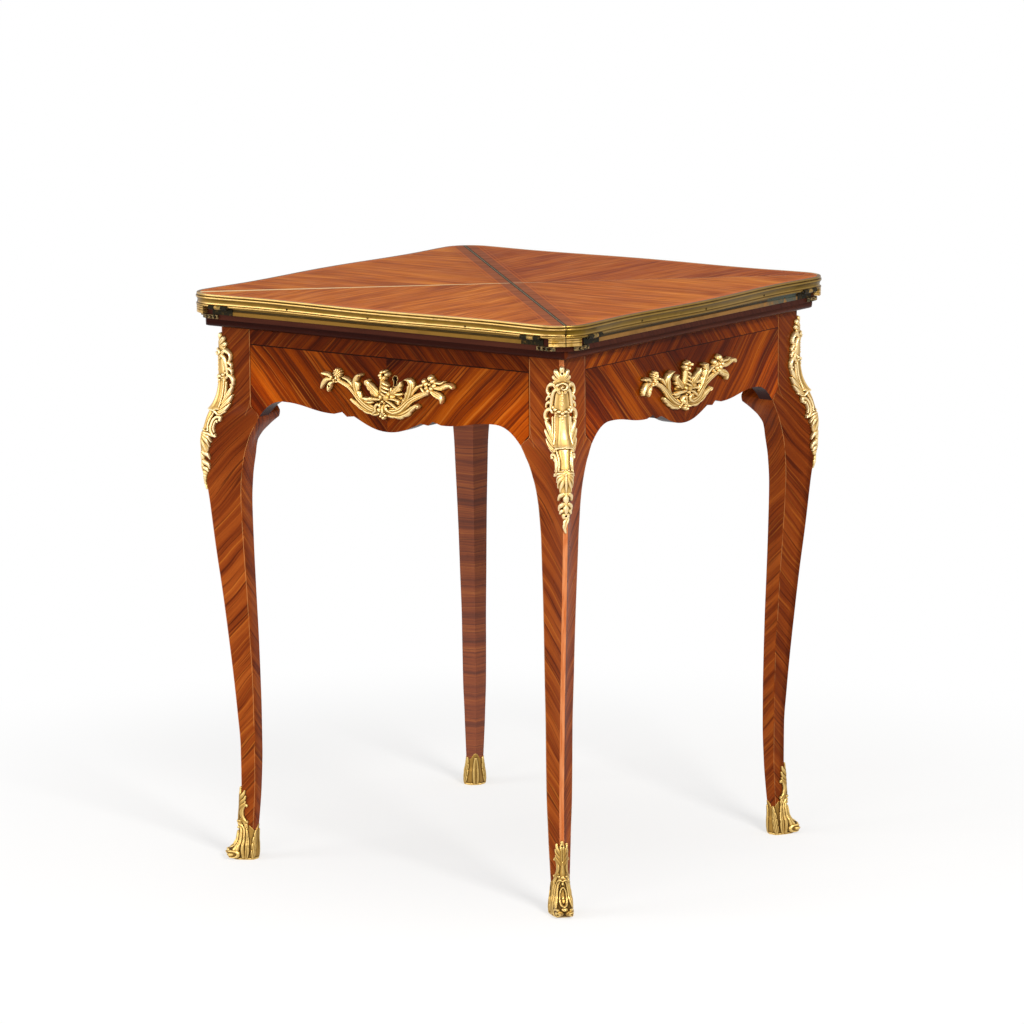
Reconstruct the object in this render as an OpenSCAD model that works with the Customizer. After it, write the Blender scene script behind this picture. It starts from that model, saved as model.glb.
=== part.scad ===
// Envelope card table: a square top of four triangular flaps folded over a turning base board,
// on a frame with a shaped apron drawer and four cabriole legs with gilt mounts.
// Origin on the floor under the centre, +Z up, the drawer faces -Y. Millimetres.

/* [Table] */
// Side of the closed top, between the straight corner tangents
top_side = 610; // [570:1:650]
// Height of the closed top above the floor
table_h = 756; // [720:1:790]
// How far the top stands out beyond the legs' heads on each side
overhang = 33.5; // [29:0.5:40]

/* [Folding top] */
// Thickness of each flap
flap_t = 15.9; // [14:0.1:19]
// Radius of the top's corners
corner_r = 42; // [36:1:50]
// How far the middle of each side bulges out
bulge = 3.5; // [0:0.1:5]
// How far the side dips in beside the bulge
dip = 4; // [0:0.1:6]
// Distance from the middle of a side to its dip
dip_x = 175; // [150:1:190]
// Width of the brass moulding round the flaps
rim_w = 6; // [4:0.5:9]
// Gap along the seams between two flaps
seam = 0.4; // [0.3:0.05:0.8]
// Distance of a hinge line inside the side's tangent line
hinge_inset = 1.5; // [1:0.1:2]
// Width of the wood border round the cloth on a flap
border = 30; // [20:1:45]
// Thickness of the playing cloth
cloth_t = 0.8; // [0.5:0.1:1.2]
// Height of the brass strip on the base board's edge
strip_h = 9.8; // [6:0.1:12]
// Thickness of that strip
strip_t = 1; // [0.6:0.1:2]
// Height of the brass corner blocks
block_h = 9.4; // [6:0.1:12]

/* [Hinges] */
// Length of each hinge
hinge_l = 30; // [22:1:40]
// Outer radius of the hinge barrel
barrel_r = 2.9; // [2.4:0.1:3]
// Radius of the hinge pin
pin_r = 1.5; // [1.2:0.1:1.7]
// Thickness of a hinge leaf
leaf_t = 1.4; // [1:0.1:2]
// How far a leaf reaches in from the hinge line
leaf_reach = 33; // [20:1:40]

/* [Frame] */
// Height of the moulded cornice
cornice_h = 11.3; // [8:0.1:16]
// How far the cornice stands out from the frame
cornice_out = 15.5; // [8:0.5:18]
// Width of the cornice members
cornice_w = 72; // [66:1:90]
// Thickness of the apron boards
apron_t = 20; // [16:1:26]
// Width of a leg's square head
post = 50.5; // [42:0.5:60]
// Flat on the outer corner of a leg
leg_flat = 4.2; // [2:0.1:6]
// Height of the rail over the drawer
rail_h = 21; // [16:0.5:26]
// Depth of the apron at its middle
apron_mid = 116; // [108:1:126]
// Depth of the apron at the crown of its arches
apron_arch = 91.5; // [84:0.5:100]
// Depth of the legs' ears beside the apron
ear_depth = 114.5; // [112:0.5:118]
// Depth at which an ear leaves the leg's head
ear_root = 100.5; // [96:0.5:104]
// How far an ear reaches out beside the leg's head
ear_out = 13; // [8:0.5:18]
// Height of the bearer under the base board
bearer_h = 24.8; // [20:0.1:27]
// Width of the bearer
bearer_w = 110; // [80:1:140]

/* [Pivot] */
// Radius of the pivot bolt
pivot_r = 6; // [4:0.5:8]
// Radius of the pivot bolt's head
pivot_head_r = 15; // [11:0.5:20]
// Thickness of the pivot bolt's head
head_h = 3; // [2:0.5:5]
// Width of the nut across its flats
nut_w = 19; // [16:0.5:24]
// Thickness of the nut
nut_h = 6; // [4:0.5:10]

/* [Drawer] */
// Gap round the drawer's front
drawer_gap = 0.4; // [0.3:0.05:1]
// Depth of the underside of the drawer's sides below the frame's top
drawer_depth = 81.4; // [78:0.2:84]
// Space between a drawer side and the leg beside it
side_play = 7; // [5:0.5:12]
// Space behind the drawer's back
back_room = 22; // [10:1:60]
// Height of the drawer's bottom above the underside of its sides
bottom_rise = 5; // [3:0.5:8]
// How far the back stays below the top of the sides
back_drop = 4; // [0:0.5:10]
// Thickness of the drawer's sides and back
side_t = 10; // [7:0.5:12]
// Height of the drawer's sides
side_h = 53; // [40:1:54]
// Thickness of the drawer's bottom
bottom_t = 5; // [3:0.5:8]
// Depth of the groove that holds the bottom
groove = 4; // [2:0.5:6]
// Thickness of the runners under the drawer
runner_h = 8; // [5:0.5:12]

/* [Lock] */
// Distance of the lock from the middle of the drawer
lock_x = 14; // [0:1:60]
// Height of the lock's case
lock_h = 35; // [26:1:44]
// Width of the lock's case
lock_w = 50; // [40:1:60]
// Thickness of the lock's case
lock_t = 8; // [6:0.5:10]
// Depth of the keyhole below the frame's top
key_depth = 46.5; // [42:0.5:52]
// Width of the lock bolt
bolt_w = 24; // [16:1:30]
// Thickness of the lock bolt
bolt_t = 3.8; // [3:0.1:5]
// Height of the lock bolt
bolt_h = 21; // [14:1:24]
// How far the lock bolt rises
bolt_throw = 6; // [3:0.5:7]

/* [Hidden] */
SIDES = ["front", "right", "back", "left"];
CORNERS = ["front_left", "front_right", "back_right", "back_left"];

wood = "#A85A2C";
dark_wood = "#3E2018";
inner_wood = "#B98B58";
gilt = "#C9A35A";
steel = "#8A8A88";
cloth = "#2F5A3C";

// Clearances between pieces that move against each other
rest_gap = 0.1;
pad_gap = 0.2;
swing_gap = 0.45;
fold_gap = 1.5;
run_gap = 0.08;
ease = 0.3;

// Levels and half widths that follow from the sizes above
half = top_side / 2;
frame_half = half - overhang;
hinge_u = half - hinge_inset;
hinge_z = table_h - flap_t - rest_gap;
lip_in = 1.2;
swing_r = norm([bulge + hinge_inset - lip_in, flap_t + rest_gap]);
base_top = hinge_z - rest_gap;
base_bottom = hinge_z - swing_r - swing_gap;
frame_top = base_bottom - pad_gap;
frame_z = frame_top - cornice_h;
strip_u = 2 * hinge_u - half - bulge - fold_gap;
board_u = strip_u - strip_t;
arc_c = half - corner_r;
seam_turn = asin(seam / 2 / corner_r);
cloth_seat = cloth_t + rest_gap;

// Outline of the closed top: u is the distance of the edge from the middle at x along a side
function wave(x) = abs(x) < dip_x
    ? (bulge - dip) / 2 + (bulge + dip) / 2 * cos(180 * x / dip_x)
    : -dip / 2 * (1 + cos(180 * (abs(x) - dip_x) / (arc_c - dip_x)));
function wave_slope(x) = (wave(x + 0.5) - wave(x - 0.5));
side_steps = 20;
arc_steps = 5;
// Each entry is [point, outward normal] along the front edge, with the side facing -Y
function edge_path() = concat(
    [for (i = [0 : arc_steps - 1]) let (a = (45 - seam_turn) * (1 - i / arc_steps))
        [[-arc_c - corner_r * sin(a), -arc_c - corner_r * cos(a)], [-sin(a), -cos(a)]]],
    [for (i = [0 : side_steps]) let (x = -arc_c + 2 * arc_c * i / side_steps, s = wave_slope(x))
        [[x, -half - wave(x)], [-s, -1] / norm([s, 1])]],
    [for (i = [1 : arc_steps]) let (a = (45 - seam_turn) * i / arc_steps)
        [[arc_c + corner_r * sin(a), -arc_c - corner_r * cos(a)], [sin(a), -cos(a)]]]);

// End face of a ring of n points: whole, or zipped from side to side where points lie in line
function cap(n, zip) = !zip ? [[for (i = [0 : n - 1]) i]]
    : let (o = n % 2) concat([for (i = [1 : o]) [0, 1, n - 1]],
        [for (k = [o : (n + o) / 2 - 2]) [k, k + 1, n + o - 2 - k, n + o - 1 - k]]);
// Stacks rings of points, each counted anticlockwise from above, into one closed solid
module loft(rings, zip = false) {
    n = len(rings[0]);
    m = len(rings);
    ends = cap(n, zip);
    polyhedron(
        points = [for (r = rings) each r],
        faces = concat(
            ends,
            [for (f = ends) [for (i = [len(f) - 1 : -1 : 0]) (m - 1) * n + f[i]]],
            [for (j = [0 : m - 2], i = [0 : n - 1]) let (k = (i + 1) % n) each
                [[j * n + i, j * n + n + i, j * n + n + k], [j * n + i, j * n + n + k, j * n + k]]]),
        convexity = 8);
}

// Smooth value of column k at height z in rows sorted by height, without overshoot
function row_at(t, z, i = 0) = (i >= len(t) - 2 || z <= t[i + 1][0]) ? i : row_at(t, z, i + 1);
function rise(t, i, k) = (t[i + 1][k] - t[i][k]) / (t[i + 1][0] - t[i][0]);
function slope(t, i, k) = (i == 0) ? rise(t, 0, k)
    : (i == len(t) - 1) ? rise(t, i - 1, k)
    : let (a = rise(t, i - 1, k), b = rise(t, i, k)) (a * b <= 0) ? 0 : 2 * a * b / (a + b);
function smooth(t, z, k) = let (i = row_at(t, z), h = t[i + 1][0] - t[i][0], s = (z - t[i][0]) / h)
    t[i][k] * (2 * s * s * s - 3 * s * s + 1) + slope(t, i, k) * h * (s * s * s - 2 * s * s + s)
    + t[i + 1][k] * (3 * s * s - 2 * s * s * s) + slope(t, i + 1, k) * h * (s * s * s - s * s);
function smooth_row(t, z) = [for (k = [0 : len(t[0]) - 1]) (k == 0) ? z : smooth(t, z, k)];

// Bezier curve through four points in n steps
function bez(a, b, c, d, n) = [for (i = [0 : n]) let (s = i / n)
    a * pow(1 - s, 3) + 3 * b * s * pow(1 - s, 2) + 3 * c * s * s * (1 - s) + d * pow(s, 3)];

// Repeats a piece made for the front side, or for the front right corner, round the table
module at_side(i) rotate([0, 0, 90 * i]) children();
module at_corner(i) rotate([0, 0, 90 * (i - 1)]) children();

// Cabriole leg in the corner +X +Y. A row holds the height and then, from the frame's face,
// the outer corner, the edge's place along the face, the edge's own face, and the inner corner.
sole = 3;
leg_rows = [
    [sole, -8, -29.5, -13.5, -24.5],
    [25, -8.7, -30.5, -13.7, -27],
    [60, -9.8, -33, -14.2, -29.8],
    [100, -10.9, -35.5, -14.5, -32],
    [150, -10.7, -36.8, -13.3, -33.2],
    [200, -8.2, -37, -12.7, -33.1],
    [240, -5.7, -36.8, -12.1, -32.6],
    [300, -1.3, -35.8, -9.2, -31.5],
    [frame_z - 351.5, 3.5, -34.6, -6.2, -29.9],
    [frame_z - 291.5, 9, -33.3, -2.5, -28.5],
    [frame_z - 231.5, 13.8, -32.9, 0.8, -27.7],
    [frame_z - 196.5, 16.7, -35, 1.8, -29],
    [frame_z - 166.5, 17.1, -40, 1.6, -32],
    [frame_z - 154.5, 16.5, -44, 1.2, -33],
    [frame_z - 141.5, 15.5, -49, 0.8, -38],
    [frame_z - 133.5, 14.5, -52.8, 0.5, -43.5],
    [frame_z - 126.5, 13, -57, 0.3, -49],
    [frame_z - 120.5, 11.5, -60.2, 0.1, -54],
    [frame_z - ear_depth, 9.5, -post - ear_out, 0, -post - 4],
    [frame_z - ear_root, 4.5, -post, 0, -post],
    [frame_z - 86.5, 1.3, -post, 0, -post],
    [frame_z - 71.5, 0, -post, 0, -post],
    [frame_z, 0, -post, 0, -post]];
leg_levels = concat(
    [for (i = [0 : 12], s = [0, 0.5]) leg_rows[i][0] * (1 - s) + leg_rows[i + 1][0] * s],
    [for (i = [13 : len(leg_rows) - 1]) leg_rows[i][0]]);
function leg_size(z) = smooth_row(leg_rows, z) + [0, 1, 1, 1, 1] * frame_half;
// One face from its edge to the leg's outer corner, with the slight hollow of the knee
function face(r) = let (p = r[1], q = r[2], f = r[3], c = p - leg_flat) [
    [f, q], [f + (p - f) * 0.22, q + (c - q) / 3], [f + (p - f) * 0.55, q + (c - q) * 2 / 3], [p, c]];
function swap(v) = [v[1], v[0]];
function leg_ring(z) = let (r = leg_size(z), a = face(r)) [
    for (v = concat([[r[4], r[4]]], a, [for (i = [3 : -1 : 0]) swap(a[i])])) [v[0], v[1], z]];
// The leg, or the stretch of it between two heights
module leg_solid(low = 0, high = table_h)
    loft([for (z = leg_levels) if (z >= low && z <= high) leg_ring(z)], zip = true);
module leg(i) color(wood) at_corner(i) mirror([0, 1, 0]) leg_solid();

// Point at distance e along a leg's face from its outer corner
function walk(v, e, i = 0) = let (d = norm(v[i + 1] - v[i]))
    (e <= d || i == len(v) - 2) ? v[i] + (v[i + 1] - v[i]) * e / d : walk(v, e - d, i + 1);
function from_corner(z, e) = let (a = face(leg_size(z))) walk([a[3], a[2], a[1], a[0]], e);
function face_normal(z) = let (a = face(leg_size(z)), d = a[3] - a[2]) [d[1], -d[0]] / norm(d);
// Ring of a mount that wraps the leg's outer corner: row [height, reach, crest, swell].
// It reaches bed deep into the leg, which is cut away again, so that it seats on the wood.
mount_edge = 0.8;
bed = 1.5;
bed_way = [1.5, 0.1];   // way into the wood at the corner, turned off the crest's own line
past = 20;
function wrap_ring(r) = let (z = r[0], n = face_normal(z), d = [1, 1] / sqrt(2), c = from_corner(z, 0),
        outer = [from_corner(z, r[1]) + n * mount_edge, from_corner(z, r[1] * 0.6) + n * r[3], c + d * r[2]],
        inner = [c - bed_way * bed, from_corner(z, r[1] / 2) - n * bed, from_corner(z, r[1]) - n * bed])
    [for (v = concat(outer, [for (k = [2 : -1 : 0]) swap(outer[k])],
        [for (k = [2 : -1 : 0]) swap(inner[k])], inner)) [v[0], v[1], z]];

// Corner mount of a leg's knee
chute_rows = [
    [frame_z - 217, 4, 2, 1], [frame_z - 205, 7, 4, 2], [frame_z - 193, 11, 4.5, 3],
    [frame_z - 183, 12, 5, 3], [frame_z - 168, 17, 6.5, 3.5], [frame_z - 155, 19, 7, 4],
    [frame_z - 144, 21, 7, 3.5], [frame_z - 133, 14.5, 5.5, 3], [frame_z - 128, 16.5, 6, 3.5],
    [frame_z - 117, 20, 6.5, 4], [frame_z - 108, 22, 8, 4.5], [frame_z - 95, 20, 7.5, 4.5],
    [frame_z - 84, 24, 7, 4], [frame_z - 73, 24.7, 7, 4], [frame_z - 62, 24.7, 6.5, 4],
    [frame_z - 56, 22, 6, 3.5], [frame_z - 40, 25, 8, 4.5], [frame_z - 30, 22, 8, 4.5],
    [frame_z - 18, 12.7, 5, 3], [frame_z - 10, 5, 3, 2]];
module chute(i) color(gilt) at_corner(i) mirror([0, 1, 0]) difference() {
    loft([for (r = chute_rows) wrap_ring(r)], zip = true);
    leg_solid(low = chute_rows[0][0] - past);
}

// Foot mount: a shoe with a scrolled toe, and a leaf that climbs the corner.
// A shoe's row is the height, then reach along the diagonal and half width of toe, front, side, heel.
toe_r = (frame_half - 8) * sqrt(2);
shoe_rows = [
    [0, 3.5, 8, -6.5, 12, -19.5, 14.5, -27.5, 7],
    [3, 9.5, 9.5, -4.5, 12.5, -19.5, 15.5, -28.5, 7.5],
    [8, 12.5, 9.5, -1.5, 12, -19.5, 15.5, -29, 7],
    [14, 11, 9, -1.5, 11.5, -19.5, 15, -29, 6.5],
    [19, 3.5, 8, -2.5, 11, -19.5, 14.8, -29, 6],
    [26, 0.5, 5.5, -5.5, 10, -19.5, 14.5, -29.2, 5],
    [40, 0.1, 4.8, -6, 10, -19.5, 14.5, -29.9, 5]];
function shoe_ring(r) = [for (v = concat(
        [for (k = [7, 5, 3, 1]) [r[k], -r[k + 1]]], [for (k = [1, 3, 5, 7]) [r[k], r[k + 1]]]))
    let (a = toe_r + v[0], s = v[1]) [(a - s) / sqrt(2), (a + s) / sqrt(2), r[0]]];
leaf_rows = [[36, 16, 3, 2.2], [44, 19, 4, 2.6], [52, 18, 4, 2.4], [58, 11, 3, 2], [66, 9, 3, 2],
    [74, 14, 3.5, 2.2], [80, 12, 3, 2], [90, 7, 2.5, 1.4], [97, 2, 1.5, 1]];
module sabot(i) color(gilt) at_corner(i) mirror([0, 1, 0]) difference() {
    union() {
        loft([for (r = shoe_rows) shoe_ring(r)]);
        loft([for (r = leaf_rows) wrap_ring(r)], zip = true);
    }
    leg_solid(high = leaf_rows[len(leaf_rows) - 1][0] + past);
}

// Lower edge of the front apron from the middle to the leg: [distance, depth below the frame's top]
function apron_half() = let (x = frame_half - post, g = apron_arch) concat(
    bez([0, apron_mid], [22, apron_mid], [36, apron_mid - 8], [53, apron_mid - 15.5], 10),
    [[64.5, apron_mid - 14], [72, apron_mid - 19.5]],
    bez([85, apron_mid - 16], [118, apron_mid - 15.5], [x - 88, g], [x - 58, g], 14),
    bez([x - 51, g], [x - 34, g + 1], [x - 23, g + 11], [x - ear_out, ear_depth], 12));
function apron_shape(gap, top) = let (h = apron_half(), x = frame_half - post - gap,
        n = len(h) - 1, foot = [h[n][0] - gap, h[n][1] - gap / 2], side = [[x, ear_root], [x, top]]) concat(
    [for (i = [0 : n - 1]) h[i]], [foot], side, [for (i = [1 : -1 : 0]) [-side[i][0], side[i][1]]],
    [[-foot[0], foot[1]]], [for (i = [n - 1 : -1 : 1]) [-h[i][0], h[i][1]]]);
// Board with that outline at the front face, from depth top down to the shaped edge
module apron_board(gap, top) translate([0, -frame_half + apron_t, frame_z]) rotate([90, 0, 0])
    linear_extrude(apron_t) polygon([for (v = apron_shape(gap, top)) [v[0], -v[1]]]);
module apron(i) color(wood) at_side(i) apron_board(0, 0);

rail_d = 36;
rail_x = frame_half - post;
box_front = -frame_half + apron_t;
bolt_y = box_front - lock_t / 2;
mortise_play = 0.6;
rail_face = bolt_y - bolt_t / 2 - mortise_play + frame_half;
module top_rail_front() color(wood)
    translate([-rail_x, -frame_half, frame_z - rail_h]) cube([2 * rail_x, rail_face, rail_h]);
// Two lengths of core behind the rail's face, with the bolt's mortise between them
core_end = bolt_w / 2 + mortise_play;
module top_rail_core() color(inner_wood) translate([0, rail_face - frame_half, frame_z - rail_h]) {
    translate([-rail_x, 0, 0]) cube([rail_x + lock_x - core_end, rail_d - rail_face, rail_h]);
    translate([lock_x + core_end, 0, 0]) cube([rail_x - lock_x - core_end, rail_d - rail_face, rail_h]);
}

// Mitred cornice: four moulded members with a small flat at each corner
cornice_u = frame_half + cornice_out;
cornice_flat = 9;
module cornice(i) color(dark_wood) at_side(i) translate([0, 0, frame_z]) intersection() {
    rotate([90, 0, 90]) translate([0, 0, -cornice_u]) linear_extrude(2 * cornice_u)
        translate([-cornice_u, 0]) polygon(concat(
            [[cornice_w, 0], [cornice_w, cornice_h], [0, cornice_h]],
            bez([0, cornice_h * 0.7], [0, cornice_h * 0.35], [2, 1], [6, 0], 10)));
    linear_extrude(cornice_h) polygon([[0, 0], [-cornice_u, -cornice_u], [cornice_u, -cornice_u]]);
    linear_extrude(cornice_h) rotate([0, 0, 45])
        square(2 * (cornice_u * sqrt(2) - cornice_flat / 2), center = true);
}

// Bearer that carries the pivot, half lapped under the cornice's left and right members
bearer_in = cornice_u - cornice_w;
bearer_z = frame_top - bearer_h;
module pivot_bearer() color(inner_wood) difference() {
    union() {
        translate([-bearer_in, -bearer_w / 2, bearer_z]) cube([2 * bearer_in, bearer_w, bearer_h]);
        translate([-frame_half + apron_t, -bearer_w / 2, bearer_z])
            cube([2 * (frame_half - apron_t), bearer_w, frame_z - bearer_z]);
    }
    translate([0, 0, bearer_z - 1]) cylinder(r = pivot_r + run_gap, h = bearer_h + 2, $fn = 48);
}

// Drawer box, its runners below and its kickers above
drawer_top = frame_z - rail_h - drawer_gap;
box_x = frame_half - post - side_play;
box_z = frame_z - drawer_depth;
box_back = frame_half - apron_t - back_room;
bottom_z = box_z + bottom_rise;
runner_in = side_t + 4;
module drawer_runners() color(inner_wood) for (s = [0, 1]) mirror([s, 0, 0])
    translate([box_x - runner_in, -rail_x, box_z - rest_gap - runner_h])
        cube([frame_half - apron_t - box_x + runner_in, 2 * rail_x, runner_h]);
module drawer_kickers() color(inner_wood) for (s = [0, 1]) mirror([s, 0, 0])
    translate([box_x - side_t, -rail_x, box_z + side_h + ease])
        cube([frame_half - apron_t - box_x + side_t, 2 * rail_x, bearer_z - box_z - side_h - ease]);
module lock_pocket(grow) translate([lock_x - lock_w / 2 - grow, box_front - lock_t, drawer_top - lock_h])
    cube([lock_w + 2 * grow, lock_t + grow, lock_h + grow]);
key_r = 2;
key_slot = 2.2;
key_drop = 7;
module keyhole(h) rotate([90, 0, 0]) {
    cylinder(r = key_r, h = h, $fn = 32);
    translate([-key_slot / 2, -key_drop, 0]) cube([key_slot, key_drop, h]);
}
key_z = frame_z - key_depth;
module drawer_front() color(wood) difference() {
    apron_board(drawer_gap, rail_h + drawer_gap);
    lock_pocket(0.05);
    translate([lock_x, box_front + 1, key_z]) keyhole(apron_t + 2);
    translate([-box_x + side_t - groove, box_front - groove, bottom_z])
        cube([2 * (box_x - side_t + groove), groove + 1, bottom_t]);
}
module drawer_side(s) color(inner_wood) mirror([s, 0, 0]) difference() {
    translate([box_x - side_t, box_front, box_z]) cube([side_t, box_back - box_front, side_h]);
    translate([box_x - side_t - 1, box_front - 1, bottom_z])
        cube([groove + 1, box_back - box_front + 2, bottom_t]);
}
module drawer_back() color(inner_wood)
    translate([-box_x + side_t, box_back - side_t, bottom_z + bottom_t])
        cube([2 * (box_x - side_t), side_t, side_h - bottom_rise - bottom_t - back_drop]);
module drawer_bottom() color(inner_wood) translate([-box_x + side_t - groove, box_front - groove, bottom_z])
    cube([2 * (box_x - side_t + groove), box_back - box_front + groove, bottom_t]);

// Lock let into the back and top edge of the drawer's front, with a bolt that rises into the rail
module lock_case() color(gilt) difference() {
    lock_pocket(0);
    translate([lock_x - bolt_w / 2 - ease, bolt_y - bolt_t / 2 - ease, drawer_top - bolt_h - 2 * ease])
        cube([bolt_w + 2 * ease, bolt_t + 2 * ease, bolt_h + 2 * ease + 1]);
    translate([lock_x, box_front + 1, key_z]) keyhole(lock_t + 2);
}
module lock_bolt() color(steel)
    translate([lock_x - bolt_w / 2, bolt_y - bolt_t / 2, drawer_top - bolt_h - ease])
        cube([bolt_w, bolt_t, bolt_h]);
plate_t = 0.8;
module escutcheon() color(gilt) translate([lock_x, -frame_half, key_z]) difference() {
    translate([0, 0, -key_drop / 2 + 1]) rotate([90, 0, 0]) linear_extrude(plate_t)
        offset(r = key_r) square([2 * key_r, key_drop + 2], center = true);
    translate([0, 1, 0]) keyhole(plate_t + 3);
}

// Gilt branch on a flat face: a half round that follows points [x, depth] with a radius at each
function side_of(v, i) = let (d = v[min(i + 1, len(v) - 1)] - v[max(i - 1, 0)]) [-d[1], d[0]] / norm(d);
module branch(v, r0, r1, r2) {
    n = len(v) - 1;
    rings = [for (i = [0 : n]) let (s = i / n, q = side_of(v, i),
            r = (s < 0.5) ? r0 + (r1 - r0) * s * 2 : r1 + (r2 - r1) * (s * 2 - 1))
        [for (k = [[-1, 0], [-0.7, 0.75], [0, 1.1], [0.7, 0.75], [1, 0]])
            [v[i][0] + q[0] * k[0] * r, -k[1] * r, -(v[i][1] + q[1] * k[0] * r)]]];
    loft(rings);
}
module blossom(x, d, r) translate([x, 0, -d]) rotate([90, 0, 0]) rotate_extrude($fn = 20)
    polygon([[0, 0], [r, 0], [r * 0.95, r * 0.35], [r * 0.6, r * 0.7], [0, r * 0.75]]);
// Scrolling apron mount: two branches with blossoms and leaves round a twisted bud
module spray() translate([0, -frame_half, frame_z]) {
    for (s = [0, 1]) mirror([s, 0, 0]) {
        branch(concat(bez([3, 86], [14, 104], [42, 100], [54, 80], 6),
            bez([57, 74], [64, 62], [70, 56], [80, 50], 3)), 3, 5, 2.5);
        branch(bez([42, 92], [54, 76], [52, 56], [38, 43], 5), 2.5, 4.5, 1.6);
        branch(bez([5, 80], [10, 66], [20, 58], [27, 50], 4), 2.5, 4.5, 2);
        branch(bez([20, 98], [38, 100], [54, 94], [60, 84], 4), 2, 3, 1.8);
        branch(bez([82, 50], [92, 46], [100, 46], [106, 53], 3), 3, 3.5, 1.4);
        branch(bez([82, 52], [88, 56], [92, 62], [92, 70], 3), 3, 3.4, 1.4);
        blossom(82, 49, 8);
    }
    branch([[0, 92], [0.5, 82], [-0.5, 72], [0.5, 62], [0, 52], [0, 44]], 3.5, 5.5, 3);
    blossom(0, 41, 5);
    blossom(0, 98, 4);
}
module side_mount(i) color(gilt) at_side(i) spray();

// Turning base board with its corner blocks, edge strips and cloth
hinge_far = arc_c - 1;
hinge_near = hinge_far - hinge_l;
board_r = board_u - arc_c;
module base_board() color(dark_wood) difference() {
    translate([0, 0, base_bottom]) linear_extrude(base_top - base_bottom) union() {
        square([2 * board_u, 2 * arc_c], center = true);
        square([2 * arc_c, 2 * board_u], center = true);
        for (x = [-1, 1], y = [-1, 1]) translate([x * arc_c, y * arc_c]) circle(board_r, $fn = 64);
    }
    translate([0, 0, base_top - cloth_seat]) linear_extrude(cloth_seat + 1)
        square(2 * cloth_u, center = true);
    translate([0, 0, base_bottom - 1]) cylinder(r = pivot_r, h = base_top - base_bottom + 2, $fn = 48);
    translate([0, 0, base_top - cloth_seat - head_h]) cylinder(r = pivot_head_r, h = head_h + 2, $fn = 64);
    for (i = [0 : 3], s = [0, 1]) at_side(i) mirror([s, 0, 0])
        translate([hinge_near, -board_u - 1, base_top - leaf_t]) cube([hinge_l, leaf_in, leaf_t + 1]);
}
leaf_in = leaf_reach - hinge_u + board_u + 1;
cloth_margin = 8;
cloth_u = hinge_u - leaf_reach - cloth_margin;
module base_cloth() color(cloth) translate([0, 0, base_top - cloth_seat]) linear_extrude(cloth_t)
    square(2 * cloth_u, center = true);
strip_x = hinge_near - 4;
module base_strips() color(gilt) for (i = [0 : 3]) at_side(i)
    translate([-strip_x, -strip_u, base_top - 0.3 - strip_h]) cube([2 * strip_x, strip_t, strip_h]);
// The blocks start where the folded flap still clears them
block_in = 0.8;
block_turn = acos((2 * (corner_r - hinge_inset) - 0.5) / (2 * corner_r - block_in));
block_r = corner_r - block_in;
module base_corners() color(gilt) for (i = [0 : 3], s = [0, 1]) at_side(i) mirror([s, 0, 0])
    translate([arc_c, -arc_c, base_top - rest_gap - block_h]) rotate([0, 0, -90 + block_turn])
        rotate_extrude(angle = 45 - block_turn - seam_turn, $fn = 96)
            polygon([[board_r, 0], [block_r - 1.2, 0], [block_r, 1], [block_r, 3], [block_r - 0.9, 3.6],
                [block_r - 0.9, 4.4], [block_r, 5], [block_r, block_h], [board_r, block_h]]);

// Hinges: two at each side, the outer knuckles on the base and the middle one on the flap
knuckle = hinge_l / 3;
module barrel(x, l, r) translate([x, -hinge_u, hinge_z]) rotate([0, 90, 0]) cylinder(r = r, h = l, $fn = 40);
module base_leaf() difference() {
    union() {
        translate([hinge_near, -hinge_u, base_top - leaf_t]) cube([hinge_l, leaf_reach, leaf_t]);
        barrel(hinge_near, knuckle - rest_gap, barrel_r);
        barrel(hinge_far - knuckle + rest_gap, knuckle - rest_gap, barrel_r);
    }
    barrel(hinge_near - 1, hinge_l + 2, pin_r);
    barrel(hinge_near + knuckle - rest_gap, knuckle + 2 * rest_gap, barrel_r + ease);
}
module edge_plate() translate([hinge_near - 3.5, -strip_u, base_top - 0.3 - strip_h])
    cube([hinge_l + 3, strip_t, strip_h - leaf_t - 0.3]);
module base_hinge_leaves() color(gilt) for (i = [0 : 3], s = [0, 1]) at_side(i) mirror([s, 0, 0]) {
    base_leaf();
    edge_plate();
}
module hinge_pins() color(steel) for (i = [0 : 3], s = [0, 1]) at_side(i) mirror([s, 0, 0])
    barrel(hinge_near, hinge_l, pin_r);
module flap_hinge_leaves(i) color(gilt) at_side(i) for (s = [0, 1]) mirror([s, 0, 0]) difference() {
    union() {
        translate([hinge_near, -hinge_u + barrel_r + ease, hinge_z + rest_gap])
            cube([hinge_l, leaf_reach - barrel_r - ease, leaf_t]);
        translate([hinge_near + knuckle + rest_gap, -hinge_u, hinge_z + rest_gap])
            cube([knuckle - 2 * rest_gap, leaf_reach - 1, leaf_t]);
        barrel(hinge_near + knuckle + rest_gap, knuckle - 2 * rest_gap, barrel_r);
    }
    barrel(hinge_near - 1, hinge_l + 2, pin_r + run_gap);
}

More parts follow.
